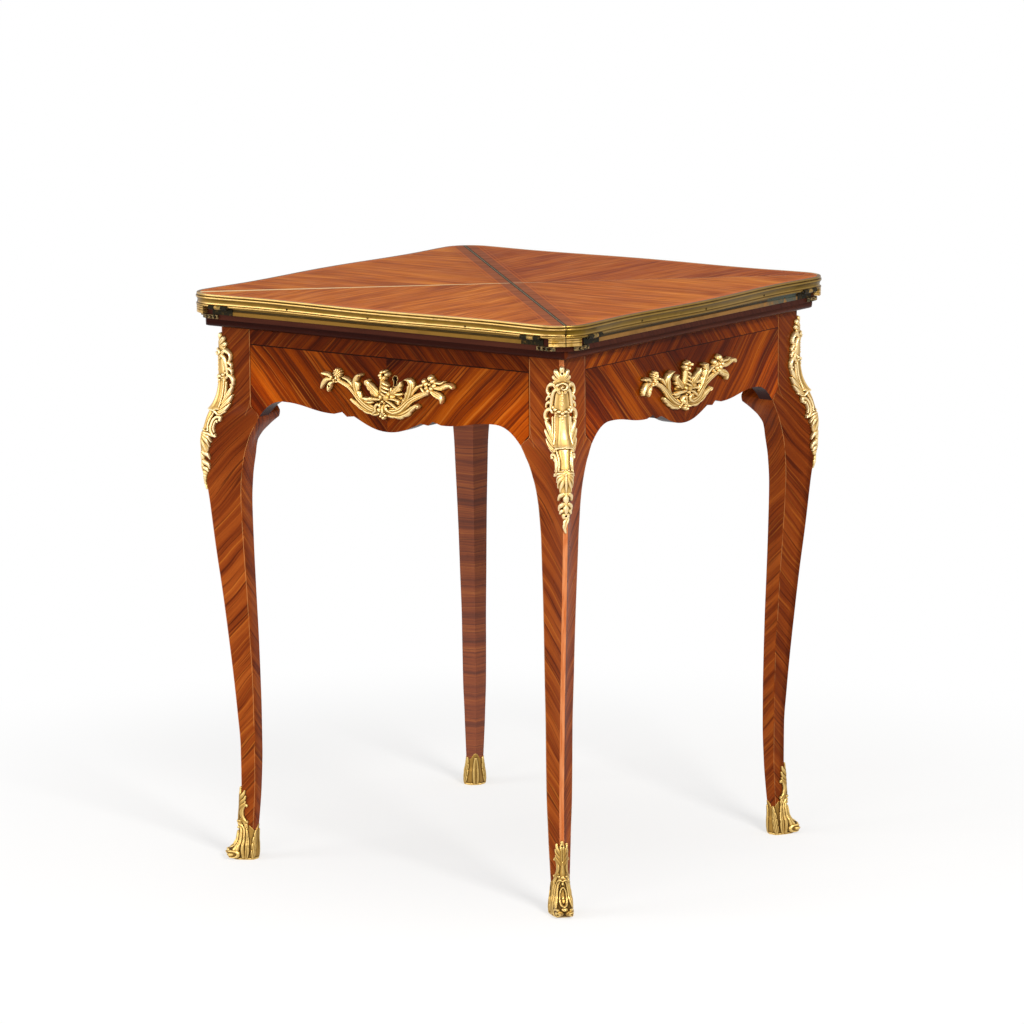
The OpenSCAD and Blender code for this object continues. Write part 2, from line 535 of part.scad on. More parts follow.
// Pivot bolt through the base board and the bearer, with its washer and nut below
washer_t = 1.5;
nut_z = bearer_z - ease - washer_t - nut_h;
bolt_end = 1;
module pivot_bolt() color(steel) {
    translate([0, 0, base_top - cloth_seat - head_h]) cylinder(r = pivot_head_r, h = head_h, $fn = 64);
    translate([0, 0, nut_z - bolt_end])
        cylinder(r = pivot_r, h = base_top - cloth_seat - nut_z + bolt_end - head_h / 2, $fn = 48);
}
module pivot_nut() color(steel) difference() {
    union() {
        translate([0, 0, nut_z + nut_h]) cylinder(r = pivot_r * 2, h = washer_t, $fn = 48);
        translate([0, 0, nut_z]) cylinder(d = nut_w / cos(30), h = nut_h, $fn = 6);
    }
    translate([0, 0, nut_z - 1]) cylinder(r = pivot_r, h = nut_h + washer_t + 2, $fn = 48);
}

// Flap: a triangular board with a moulded rim, made for the front and turned to its side
// Rim profile: [out from the outline, height above the flap's underside]
rim_profile = [[-rim_w, 0], [-1.6, 0], [-0.5, 0.9], [-0.5, 2], [-1.7, 2.7], [-2.4, 4.6], [-2, 7],
    [-1, 9.2], [-0.1, 10.4], [-0.1, 12], [-1.5, 12.8], [-lip_in, 13.6], [-lip_in, flap_t], [-rim_w, flap_t]];
module rim_solid() loft([for (e = edge_path())
    [for (q = rim_profile) let (p = e[0] + e[1] * q[0]) [p[0], p[1], q[1]]]]);
module flap_rim(i) color(gilt) at_side(i) difference() {
    translate([0, 0, hinge_z + rest_gap]) rim_solid();
    for (s = [0, 1]) mirror([s, 0, 0]) {
        barrel(hinge_near - ease, hinge_l + 2 * ease, barrel_r + ease);
        translate([hinge_near - ease, -hinge_u, hinge_z])
            cube([hinge_l + 2 * ease, 2 * rim_w, leaf_t + rest_gap + ease / 2]);
    }
}
// Outline of the board inside the rim, with its two seams meeting in the middle of the top
function flap_outline() = concat([for (e = edge_path()) e[0] - e[1] * rim_w], [[0, -seam * sqrt(2) / 2]]);
cloth_near = border * sqrt(2);
module cloth_outline() polygon([[cloth_near - cloth_u, -cloth_u], [cloth_u - cloth_near, -cloth_u],
    [0, -cloth_near]]);
module flap_board(i) color(wood) at_side(i) difference() {
    translate([0, 0, hinge_z + rest_gap]) linear_extrude(flap_t) polygon(flap_outline());
    translate([0, 0, hinge_z]) linear_extrude(rest_gap + cloth_seat) cloth_outline();
    for (s = [0, 1]) mirror([s, 0, 0]) translate([hinge_near, -hinge_u - 1, hinge_z])
        cube([hinge_l, leaf_reach + 1, leaf_t + rest_gap]);
}
module flap_cloth(i) color(cloth) at_side(i) translate([0, 0, hinge_z + rest_gap + cloth_seat - cloth_t])
    linear_extrude(cloth_t) cloth_outline();

for (i = [0 : 3]) {
    leg(i);
    chute(i);
    sabot(i);
    cornice(i);
    flap_board(i);
    flap_rim(i);
    flap_cloth(i);
    flap_hinge_leaves(i);
}
for (i = [1 : 3]) {
    apron(i);
    side_mount(i);
}
top_rail_front();
top_rail_core();
pivot_bearer();
drawer_runners();
drawer_kickers();
drawer_front();
drawer_side(1);  // drawer_side_left
drawer_side(0);  // drawer_side_right
drawer_back();
drawer_bottom();
side_mount(0);  // drawer_mount
escutcheon();
lock_case();
lock_bolt();
base_board();
base_cloth();
base_strips();
base_corners();
base_hinge_leaves();
hinge_pins();
pivot_bolt();
pivot_nut();
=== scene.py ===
import math

import bmesh
import bpy
import numpy as np
from mathutils import Matrix, Vector

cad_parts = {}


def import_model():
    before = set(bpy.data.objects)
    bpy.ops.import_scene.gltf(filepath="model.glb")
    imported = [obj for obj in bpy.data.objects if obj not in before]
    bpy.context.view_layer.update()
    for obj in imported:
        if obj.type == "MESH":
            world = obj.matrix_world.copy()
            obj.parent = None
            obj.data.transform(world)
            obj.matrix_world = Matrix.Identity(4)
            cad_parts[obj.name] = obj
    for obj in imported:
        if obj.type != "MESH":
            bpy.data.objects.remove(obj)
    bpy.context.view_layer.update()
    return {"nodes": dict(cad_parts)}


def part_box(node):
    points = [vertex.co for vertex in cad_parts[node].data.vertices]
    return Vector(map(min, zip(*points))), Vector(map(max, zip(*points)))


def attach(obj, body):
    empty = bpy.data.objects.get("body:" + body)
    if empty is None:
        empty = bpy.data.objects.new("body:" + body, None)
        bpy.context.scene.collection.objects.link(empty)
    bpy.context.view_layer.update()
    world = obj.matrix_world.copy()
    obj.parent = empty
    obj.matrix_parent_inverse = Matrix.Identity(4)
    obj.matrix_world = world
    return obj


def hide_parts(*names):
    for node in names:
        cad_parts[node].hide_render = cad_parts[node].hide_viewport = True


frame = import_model()
NODES = frame["nodes"]
MM = 0.001
ROOT = math.sqrt(0.5)
SIDES = ["front", "right", "back", "left"]
CORNERS = ["front_left", "front_right", "back_right", "back_left"]

# Sizes of the part, in millimetres
HALF = 305.0
FRAME_HALF = 271.5
HINGE_Z = 740.0
CORNER_R = 42.0
ARC_C = HALF - CORNER_R
FRAME_Z = 711.605
POST = 50.5
LEG_FLAT = 4.2
EAR_ROOT = 100.5
EAR_DEPTH = 114.5
EAR_OUT = 13.0
RAIL_H = 19.6
DRAWER_JOINT = 21.2


# ---------------------------------------------------------------- camera
def camera():
    yaw, pitch, roll = math.radians(-35.82), math.radians(10.28), math.radians(-0.39)
    fwd = Vector((math.sin(yaw) * math.cos(pitch), math.cos(yaw) * math.cos(pitch), -math.sin(pitch)))
    right = Vector((math.cos(yaw), -math.sin(yaw), 0))
    up = right.cross(fwd)
    r2 = right * math.cos(roll) + up * math.sin(roll)
    u2 = up * math.cos(roll) - right * math.sin(roll)
    m = Matrix((r2, u2, -fwd)).transposed().to_4x4()
    m.translation = Vector((3.578, -4.960, 1.561))
    data = bpy.data.cameras.new("camera")
    data.lens = 165.7
    data.sensor_width = 36
    data.clip_end = 50
    cam = bpy.data.objects.new("camera", data)
    cam.matrix_world = m
    bpy.context.scene.collection.objects.link(cam)
    bpy.context.scene.camera = cam


camera()


# ---------------------------------------------------------------- material helpers
def srgb(h):
    c = [int(h[i:i + 2], 16) / 255 for i in (1, 3, 5)]
    return tuple(x / 12.92 if x <= 0.04045 else ((x + 0.055) / 1.055) ** 2.4 for x in c)


def colour(v):
    """A colour's code, or its three linear values, as the four values of a socket; others as they are."""
    if isinstance(v, str):
        v = srgb(v)
    return (*v, 1) if isinstance(v, tuple) and len(v) == 3 else v


def operator(op):
    """The maths node for an operator, with the output on its left and on its right."""
    return lambda a, b: a.nodes.math(op, a, b), lambda a, b: a.nodes.math(op, b, a)


class Val:
    """An output of a node; sums and products of outputs are nodes too."""

    def __init__(self, nodes, sock):
        self.nodes, self.sock = nodes, sock

    __add__, __radd__ = operator("ADD")
    __sub__, __rsub__ = operator("SUBTRACT")
    __mul__, __rmul__ = operator("MULTIPLY")

    def __abs__(self):
        return self.nodes.math("ABSOLUTE", self)


class Nodes:
    """A node tree that is written as expressions."""

    def __init__(self, tree):
        self.t = tree
        tree.nodes.clear()

    def put(self, sock, v):
        v = getattr(v, "sock", v)
        if isinstance(v, bpy.types.NodeSocket):
            self.t.links.new(v, sock)
        elif v is not None:
            sock.default_value = colour(v)

    def node(self, kind, *values, named=None, **props):
        """A new node with values for its first inputs, or for inputs by name."""
        n = self.t.nodes.new("ShaderNode" + kind)
        for k, v in props.items():
            setattr(n, k, v)
        for k, v in (*enumerate(values), *(named or {}).items()):
            self.put(n.inputs[k], v)
        return n

    def out(self, kind, *values, at=0, **props):
        return Val(self, self.node(kind, *values, **props).outputs[at])

    def math(self, op, *values, clamp=False):
        return self.out("Math", *values, operation=op, use_clamp=clamp)

    def mad(self, a, b, c, clamp=False):
        """a * b + c"""
        return self.math("MULTIPLY_ADD", a, b, c, clamp=clamp)

    def step(self, x, a, b):
        """0 below a, 1 above b, smooth between (a may be larger than b)."""
        ends = (0, 1) if a < b else (1, 0)
        return self.out("MapRange", x, min(a, b), max(a, b), *ends, interpolation_type="SMOOTHSTEP")

    def line(self, x, at, half, soft=0.0002):
        """1 within half of at, 0 elsewhere."""
        return self.step(abs(x - at), half + soft, half - soft)

    def mixc(self, f, a, b, mode="MIX"):
        return self.out("Mix", f, *[None] * 5, a, b, at=2, data_type="RGBA", blend_type=mode)

    def mixf(self, f, a, b):
        return self.out("Mix", f, None, a, b, data_type="FLOAT")

    def ramp(self, f, stops):
        n = self.node("ValToRGB", f)
        r = n.color_ramp
        while len(r.elements) < len(stops):
            r.elements.new(0.5)
        for e, (p, c) in zip(r.elements, stops):
            e.position = p
            e.color = colour(c)
        return Val(self, n.outputs[0])

    def noise(self, vec, scale=1.0, detail=2.0, rough=0.5):
        return self.out("TexNoise", named=dict(Vector=vec, Scale=scale, Detail=detail, Roughness=rough))

    def grain(self, x, per_x, y, per_y, z=0.0, detail=2.0, rough=0.5):
        """Noise over a plane, with its own scale along x and along y."""
        return self.noise(self.out("CombineXYZ", x * per_x, y * per_y, z), 1.0, detail, rough)

    def split(self, v):
        return [Val(self, sock) for sock in self.node("SeparateXYZ", v).outputs]

    def obj(self):
        return self.out("TexCoord", at="Object")

    def normal(self):
        return self.out("TexCoord", at="Normal")

    def bump(self, h, dist, strength):
        return self.out("Bump", named=dict(Strength=strength, Distance=dist, Height=h))


class Mat(Nodes):
    """A material with one principled shader."""

    def __init__(self, name):
        self.m = bpy.data.materials.new(name)
        self.m.use_nodes = True
        super().__init__(self.m.node_tree)
        self.s = self.node("BsdfPrincipled")
        self.end = self.node("OutputMaterial", Val(self, self.s.outputs[0]))

    def set(self, **kw):
        names = dict(color="Base Color", metal="Metallic", rough="Roughness", normal="Normal",
                     spec="Specular IOR Level", sheen="Sheen Weight", sheen_rough="Sheen Roughness")
        for k, v in kw.items():
            self.put(self.s.inputs[names[k]], v)
        return self.m


# ---------------------------------------------------------------- wood
KINGWOOD = [(0.0, "#2A0900"), (0.28, "#561C00"), (0.45, "#7A2F00"), (0.6, "#923F00"),
            (0.78, "#AB5408"), (1.0, "#C66E14")]
LEGWOOD = [(0.0, "#2E0E06"), (0.28, "#5A220B"), (0.45, "#7C350F"), (0.6, "#904415"),
           (0.78, "#A6571F"), (1.0, "#BC7032")]
DARK_LINE, LIGHT_LINE = "#3A1005", "#BE6E24"


def veneer(m, across, along, seed, palette=KINGWOOD, wide=60.0, gain=1.0, lines=1.0):
    """Colour and fine height of a striped veneer, with its grain along the second coordinate (both in metres)."""
    sway = m.grain(across, 9, along, 7, seed + 31.0)
    x = m.mad(sway - 0.5, 0.016, across)
    broad = m.grain(x, wide, along, 2.2, seed)
    band = m.grain(x, wide * 5.2, along, 5.0, seed + 7.3, 3, 0.6)
    fine = m.grain(x, 1500, along, 34, seed + 3.1, 2, 0.6)
    f = broad * 0.72 + (band * 0.36 + fine * 0.2)
    f = m.mad(f - 0.64, 1.75 * gain, 0.5)
    col = m.ramp(f, palette)
    thin = m.grain(x, 430, along, 6.0, seed + 12.0, 1)
    pale = m.grain(x, 390, along, 5.0, seed + 19.0, 1)
    col = m.mixc(m.step(thin, 0.58, 0.65) * (0.62 * lines), col, DARK_LINE)
    col = m.mixc(m.step(pale, 0.61, 0.68) * (0.36 * lines), col, LIGHT_LINE)
    return col, band * 0.3 + fine


def polish(m, col, height, rough=0.3):
    smear = m.noise(m.obj(), 55, 3, 0.6)
    return m.set(color=col, rough=m.mad(smear - 0.5, 0.16, rough), spec=0.035, normal=m.bump(height, 0.00006, 0.5))


# ---------------------------------------------------------------- geometry helpers
def rows(table):
    """Rows of numbers; in a text table, commas part the rows and spaces the numbers."""
    return np.array([r.split() for r in table.split(",")] if isinstance(table, str) else table, float)


def sweep(rings, flip=False):
    """Closed body through rings of points; flip turns its faces round where they would look inwards."""
    n = len(rings[0])
    f = [(j * n + k, j * n + (k + 1) % n, (j + 1) * n + (k + 1) % n, (j + 1) * n + k)
         for j in range(len(rings) - 1) for k in range(n)]
    f += [tuple(range(n))[::-1], tuple((len(rings) - 1) * n + k for k in range(n))]
    return [p for ring in rings for p in ring], [q[::-1] for q in f] if flip else f


def mesh_obj(name, verts, faces, body, mats, index=None, uv=None, replaces=(), sharp=None):
    """A smooth mesh piece from millimetre points, riding on a body."""
    v = np.asarray(verts, float) * MM
    corners = np.fromiter((i for f in faces for i in f), np.int32)
    count = np.fromiter((len(f) for f in faces), np.int32)
    me = bpy.data.meshes.new(name)
    me.vertices.add(len(v))
    me.vertices.foreach_set("co", v.astype(np.float32).ravel())
    me.loops.add(len(corners))
    me.loops.foreach_set("vertex_index", corners)
    me.polygons.add(len(count))
    me.polygons.foreach_set("loop_start", np.cumsum(count, dtype=np.int32) - count)
    me.polygons.foreach_set("loop_total", count)
    me.update(calc_edges=True)
    if index is not None:
        me.polygons.foreach_set("material_index", np.asarray(index, np.int32))
    if uv is not None:
        me.uv_layers.new(name="leg").data.foreach_set("uv", uv[corners].astype(np.float32).ravel())
    me.polygons.foreach_set("use_smooth", np.ones(len(count), bool))
    if sharp:
        me.set_sharp_from_angle(angle=math.radians(sharp))
    for m in mats:
        me.materials.append(m)
    o = bpy.data.objects.new(name, me)
    bpy.context.scene.collection.objects.link(o)
    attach(o, body)
    if replaces:
        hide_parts(*replaces)
    return o


def side_turn(i, p):
    """Turns points made for the front side (facing -Y) to side i, anticlockwise from above."""
    c, s = [(1, 0), (0, 1), (-1, 0), (0, -1)][i]
    p = np.asarray(p, float)
    return np.stack([p[:, 0] * c - p[:, 1] * s, p[:, 0] * s + p[:, 1] * c, p[:, 2]], 1)


def corner_turn(i, p):
    """Places points made for the corner +X +Y at corner i of CORNERS."""
    p = np.asarray(p, float) * np.array([1, -1, 1])
    return side_turn((i - 1) % 4, p)


def slots(obj, *mats):
    obj.data.materials.clear()
    for m in mats:
        obj.data.materials.append(m)


# ---------------------------------------------------------------- legs
LEG_ROWS = np.array([
    [3, -8, -29.5, -13.5, -24.5], [25, -8.7, -30.5, -13.7, -27], [60, -9.8, -33, -14.2, -29.8],
    [100, -10.9, -35.5, -14.5, -32], [150, -10.7, -36.8, -13.3, -33.2], [200, -8.2, -37, -12.7, -33.1],
    [240, -5.7, -36.8, -12.1, -32.6], [300, -1.3, -35.8, -9.2, -31.5], [FRAME_Z - 351.5, 3.5, -34.6, -6.2, -29.9],
    [FRAME_Z - 291.5, 9, -33.3, -2.5, -28.5], [FRAME_Z - 231.5, 13.8, -32.9, 0.8, -27.7],
    [FRAME_Z - 196.5, 16.7, -35, 1.8, -29], [FRAME_Z - 166.5, 17.1, -40, 1.6, -32],
    [FRAME_Z - 154.5, 16.5, -44, 1.2, -33], [FRAME_Z - 141.5, 15.5, -49, 0.8, -38],
    [FRAME_Z - 133.5, 14.5, -52.8, 0.5, -43.5], [FRAME_Z - 126.5, 13, -57, 0.3, -49],
    [FRAME_Z - 120.5, 11.5, -60.2, 0.1, -54], [FRAME_Z - EAR_DEPTH, 9.5, -POST - EAR_OUT, 0, -POST - 4],
    [FRAME_Z - EAR_ROOT, 4.5, -POST, 0, -POST], [FRAME_Z - 86.5, 1.3, -POST, 0, -POST],
    [FRAME_Z - 71.5, 0, -POST, 0, -POST], [FRAME_Z, 0, -POST, 0, -POST]])


def leg_size(z):
    """Outer corner, edge along the face, edge's face and inner corner at height z (arrays)."""
    t = LEG_ROWS
    z = np.atleast_1d(np.asarray(z, float))
    i = np.clip(np.searchsorted(t[:, 0], z, side="left") - 1, 0, len(t) - 2)
    rise = (t[1:, 1:] - t[:-1, 1:]) / (t[1:, :1] - t[:-1, :1])
    sl = np.zeros_like(t[:, 1:])
    sl[0], sl[-1] = rise[0], rise[-1]
    a, b = rise[:-1], rise[1:]
    with np.errstate(divide="ignore", invalid="ignore"):
        sl[1:-1] = np.where(a * b <= 0, 0, 2 * a * b / (a + b))
    h = (t[i + 1, 0] - t[i, 0])[:, None]
    s = ((z - t[i, 0])[:, None]) / h
    out = (t[i, 1:] * (2 * s**3 - 3 * s**2 + 1) + sl[i] * h * (s**3 - 2 * s**2 + s)
           + t[i + 1, 1:] * (3 * s**2 - 2 * s**3) + sl[i + 1] * h * (s**3 - s**2))
    return out + FRAME_HALF


# Shares of the way across a leg's outer face, and how far the face has come forward there
FACE_S = np.linspace(0, 1, 9)
FACE_G = 0.52 * FACE_S + 0.48 * FACE_S**2
# The arris at the face's edge: where it starts on both faces, and its middle
ARRIS, ARRIS_MID = 0.7, 0.2
FOOT_Z, KNEE_Z = 3, 560


def leg_face(p, q, f):
    """Points across a leg's outer face at one height, from its edge to the flat on the corner."""
    c = p - LEG_FLAT
    return [(f + (p - f) * g, q + (c - q) * s) for s, g in zip(FACE_S, FACE_G)]


def leg_mesh():
    """Points, faces, material index and coordinates of a leg in the corner +X +Y.
    Materials: 0 outer faces, 1 inner faces, 2 flat on the outer corner, 3 ends."""
    near_top = [FRAME_Z - low for low in (EAR_DEPTH, EAR_ROOT, 40, 20, 0)]
    zs = np.unique(np.concatenate([
        np.arange(FOOT_Z, KNEE_Z, 9.0), np.arange(KNEE_Z, FRAME_Z - EAR_ROOT, 3.0), near_top,
        [FRAME_Z - EAR_ROOT - 0.01], np.arange(FRAME_Z - 98, FRAME_Z - 60, 5.0)]))
    rings, coords = [], []
    for z, (p, q, f, r) in zip(zs, leg_size(zs)):
        face = leg_face(p, q, f)
        edge = np.array(face[0])
        inwards, onwards = np.array([r, r]) - edge, np.array(face[1]) - edge
        depth = np.linalg.norm(inwards)
        inwards /= depth
        onwards /= np.linalg.norm(onwards)
        arris = [edge + inwards * ARRIS, edge + (inwards + onwards) * ARRIS_MID, edge + onwards * ARRIS]
        half = [(r, r)] + [tuple(v) for v in (edge + inwards * (depth * 0.5), *arris)] + face[1:]
        run = np.cumsum([0] + [math.dist(a, b) for a, b in zip(half, half[1:])])
        run -= run[3]
        e = [(x, run[-1] - x) for x in run]
        rings.append([(x, y, z) for x, y in half + [(y, x) for x, y in half[:0:-1]]])
        coords += e + e[:0:-1]
    verts, faces = sweep(rings, True)
    outer = [0] * (len(half) - 4)
    kind = [1] * 3 + outer + [2] + outer + [1] * 3
    return verts, faces, kind * (len(rings) - 1) + [3, 3], np.array(coords)


def leg_skin(z, s):
    """Point on the outside of a leg at signed distance s (mm) from the outer corner's middle, and its outward normal.
    Positive s lies on the face towards +X."""
    p, q, f = leg_size(z).T[:3]
    c = p - LEG_FLAT
    fx = f[:, None] + (p - f)[:, None] * FACE_G[None, ::-1]
    fy = q[:, None] + (c - q)[:, None] * FACE_S[None, ::-1]
    mid = (p + c) / 2
    fx = np.concatenate([mid[:, None], fx], 1)
    fy = np.concatenate([mid[:, None], fy], 1)
    seg = np.hypot(np.diff(fx, axis=1), np.diff(fy, axis=1))
    run = np.concatenate([np.zeros((len(seg), 1)), np.cumsum(seg, 1)], 1)
    e = np.abs(s)
    k = np.clip((run[:, 1:-1] < e[:, None]).sum(1), 0, seg.shape[1] - 1)
    row = np.arange(len(e))
    w = (e - run[row, k]) / seg[row, k]
    x = fx[row, k] + (fx[row, k + 1] - fx[row, k]) * w
    y = fy[row, k] + (fy[row, k + 1] - fy[row, k]) * w
    face = np.stack([fx[:, 2] - fx[:, 5], fy[:, 2] - fy[:, 5]], 1)
    nf = np.stack([face[:, 1], -face[:, 0]], 1)
    nf /= np.linalg.norm(nf, axis=1)[:, None]
    return x, y, nf


# ---------------------------------------------------------------- cast ornament as height fields
def spline(pts, n=None):
    """Smooth curve through rows of values, about 0.3 mm apart or with n points to a piece."""
    p = rows(pts)
    p = np.vstack([2 * p[0] - p[1], p, 2 * p[-1] - p[-2]])
    out = []
    for k in range(1, len(p) - 2):
        a, b, c, d = p[k - 1:k + 3]
        m = n or max(3, int(math.dist(b[:2], c[:2]) / 0.3))
        t = np.linspace(0, 1, m, endpoint=False)[:, None]
        out.append(0.5 * ((2 * b) + (c - a) * t + (2 * a - 5 * b + 4 * c - d) * t**2
                          + (3 * b - a - 3 * c + d) * t**3))
    out.append(p[-2:-1])
    return np.vstack(out)


# Height of the ground, where a piece ends below its surface, how steeply a form falls away, and a groove's width
LOW = -2.5
BOTTOM = -1.0
FALL = 2.2
GROOVE_W = 0.15
# Rounds of blurring after which the depth below the blurred surroundings is measured for the gilt's painted shading,
# and the depth (mm) that then counts as full
HOLLOWS = {6: 0.9, 48: 3.2}


class Relief:
    """Heights over a plane, in millimetres; ground at LOW is below the surface that carries the relief."""

    def __init__(self, x0, x1, y0, y1, cell):
        self.x = np.arange(x0, x1 + cell / 2, cell)
        self.y = np.arange(y0, y1 + cell / 2, cell)
        self.X, self.Y = np.meshgrid(self.x, self.y)
        self.H = np.full(self.X.shape, LOW)

    def win(self, x0, x1, y0, y1):
        i0, i1 = np.searchsorted(self.x, [x0, x1])
        j0, j1 = np.searchsorted(self.y, [y0, y1])
        return slice(j0, j1 + 1), slice(i0, i1 + 1)

    def up(self, w, q, body, edge):
        """Raises the ground to a form in the window w: q is 1 at its edge, and outside it the form falls away."""
        self.H[w] = np.maximum(self.H[w], np.where(q < 1, body, -(q - 1) * edge * FALL))
        return self

    def near(self, c, pad):
        """Window round a curve, and for each cell: place along it (0 to 1), signed distance and nearest row."""
        w = self.win(c[:, 0].min() - pad, c[:, 0].max() + pad, c[:, 1].min() - pad, c[:, 1].max() + pad)
        gx, gy = self.X[w].ravel(), self.Y[w].ravel()
        far = (gx[:, None] - c[:, 0])**2 + (gy[:, None] - c[:, 1])**2
        arg = far.argmin(1)
        run = np.concatenate([[0], np.cumsum(np.hypot(*np.diff(c[:, :2], axis=0).T))])
        tan = np.gradient(c[:, :2], axis=0)
        tan /= np.maximum(np.linalg.norm(tan, axis=1), 1e-9)[:, None]
        dx, dy = gx - c[arg, 0], gy - c[arg, 1]
        side = tan[arg, 0] * dy - tan[arg, 1] * dx
        along = (run[arg] + np.clip(tan[arg, 0] * dx + tan[arg, 1] * dy, -1, 1)) / run[-1]
        sh = self.X[w].shape
        return w, along.reshape(sh), (np.sign(side) * np.sqrt(far.min(1))).reshape(sh), arg.reshape(sh), run[-1]

    def tube(self, pts, n=None):
        """Round stem; rows are x, y, radius, height."""
        c = spline(pts, n)
        w, _, d, k, _ = self.near(c, c[:, 2].max() + 1.5)
        r, h = c[k, 2], c[k, 3]
        q = np.abs(d) / np.maximum(r, 0.2)
        return self.up(w, q, h * np.clip(1 - q**2, 0, 1)**0.55, r)

    def ball(self, x, y, r, h, power=0.5):
        w = self.win(x - r - 1, x + r + 1, y - r - 1, y + r + 1)
        q = np.hypot(self.X[w] - x, self.Y[w] - y) / r
        return self.up(w, q, h * np.clip(1 - q**2, 0, 1)**power, r)

    def balls(self, table):
        for b in rows(table):
            self.ball(*b)
        return self

    def blade(self, pts, grooves=(), lobes=0, side=0, bite=0.3, depth=0.7):
        """Cast leaf or band with a rounded section; rows along it are x, y, half width, height.
        Grooves lie at shares of its width, and lobes are cut into both edges or one side's."""
        c = spline(pts)
        w, t, d, k, length = self.near(c, c[:, 2].max() + 2)
        wide, h = c[k, 2], c[k, 3]
        a = np.abs(d)
        cut = 0
        if lobes:
            u = np.clip(t - 0.5 * a / length, 0, 1)
            cut = bite * (1 - np.abs(np.sin(math.pi * lobes * u))**0.5)
            if side:
                cut = np.where(np.sign(d) == side, cut, 0)
        edge = np.maximum(wide * (1 - cut), 0.3)
        q = a / edge
        body = h * np.clip(1 - q**2.6, 0, 1)**0.5
        for g in grooves:
            body -= depth * np.clip(wide / 3.5, 0.4, 1.4) * np.exp(-((a / np.maximum(wide, 0.3) - g) / GROOVE_W)**2)
        return self.up(w, q, body, edge)

    def dent(self, x, y, r, depth):
        """Round hole that doesn't go through."""
        w = self.win(x - 3 * r, x + 3 * r, y - 3 * r, y + 3 * r)
        self.H[w] -= depth * np.exp(-(np.hypot(self.X[w] - x, self.Y[w] - y) / r)**4)
        return self

    def rosette(self, x, y, r, h):
        """Domed head of small overlapping petals."""
        for ring, (n, e, b) in enumerate(((10, 0.76, 0.27), (8, 0.5, 0.26), (5, 0.24, 0.25), (1, 0, 0.24))):
            for k in range(n):
                a = 2 * math.pi * (k + 0.5 * ring) / n
                self.ball(x + r * e * math.cos(a), y + r * e * math.sin(a), r * b, h * (0.78 + 0.075 * ring))
        return self.ball(x, y, r * 0.94, h * 0.74, 0.6)

    def scroll(self, x, y, r, turns, start, hand, thick, h, eye):
        """Volute that winds in from radius r at the angle start (degrees)."""
        t = np.linspace(0, 1, int(40 * turns))
        a = math.radians(start) + hand * t * turns * 2 * math.pi
        rr = r * (1 - t) ** 0.9 + eye * 0.5 * t
        self.tube(np.stack([x + rr * np.cos(a), y + rr * np.sin(a), thick * (1 - 0.45 * t),
                            h * (0.85 + 0.15 * t)], 1), 4)
        return self.ball(x, y, eye, h * 1.1)

    def slab(self, table, flutes=0, depth=0.5):
        """Body about x = 0; rows are y, half width, height in the middle, height near its edge."""
        r = rows(table)
        r = r[np.argsort(r[:, 0])]
        w = self.win(-r[:, 1].max() - 1, r[:, 1].max() + 1, r[0, 0], r[-1, 0])
        wide, mid, rim = (np.interp(self.Y[w], r[:, 0], r[:, k]) for k in (1, 2, 3))
        q = np.abs(self.X[w]) / wide
        body = (rim + (mid - rim) * np.clip(1 - q**2, 0, 1)**0.7) * np.clip(1 - q**4, 0, 1)**0.5
        if flutes:
            body += depth * np.cos(math.pi * q * (flutes - 0.5)) * (q < 0.97)
        return self.up(w, q, body, wide)

    def pair(self, kind, *args, **kw):
        """The same form on both sides of x = 0."""
        form = getattr(self, kind)
        form(*args, **kw)
        a = list(args)
        if kind in ("tube", "blade"):
            a[0] = rows(a[0]) * [-1, 1, 1, 1]
            a[3:4] = [-side for side in a[3:4]]
        else:
            a[0] = -a[0]
        if kind == "scroll":
            a[4], a[5] = 180 - a[4], -a[5]
        return form(*a, **kw)

    def pierce(self, x, y, rx, ry, turn=0.0):
        a = math.radians(turn)
        dx, dy = self.X - x, self.Y - y
        e = np.hypot((dx * math.cos(a) + dy * math.sin(a)) / rx, (dy * math.cos(a) - dx * math.sin(a)) / ry)
        self.H = np.minimum(self.H, (e - 1) * min(rx, ry) * 3)
        return self

    def grid(self):
        """Places, heights and faces of the cells with any ground above BOTTOM, and how deep each place lies below its
        blurred surroundings, from which the gilt paints shading in recesses and highlight on ridges.
        """
        H = self.H
        f = top = np.maximum(H, 0)
        hollow = 0
        for done in range(1, max(HOLLOWS) + 1):
            f = (f + np.roll(f, 1, 0) + np.roll(f, -1, 0) + np.roll(f, 1, 1) + np.roll(f, -1, 1)) / 5
            if done in HOLLOWS:
                hollow = hollow + (f - top) / HOLLOWS[done]
        nx = H.shape[1]
        keep = np.maximum.reduce([H[:-1, :-1], H[1:, :-1], H[:-1, 1:], H[1:, 1:]]) > BOTTOM + 0.4
        j, i = np.nonzero(keep)
        a = j * nx + i
        used, quads = np.unique(np.stack([a, a + 1, a + 1 + nx, a + nx], 1), return_inverse=True)
        return (self.X.ravel()[used], self.Y.ravel()[used], np.maximum(H.ravel()[used], BOTTOM),
                quads.reshape(-1, 4), np.clip(hollow, -1, 1).ravel()[used])


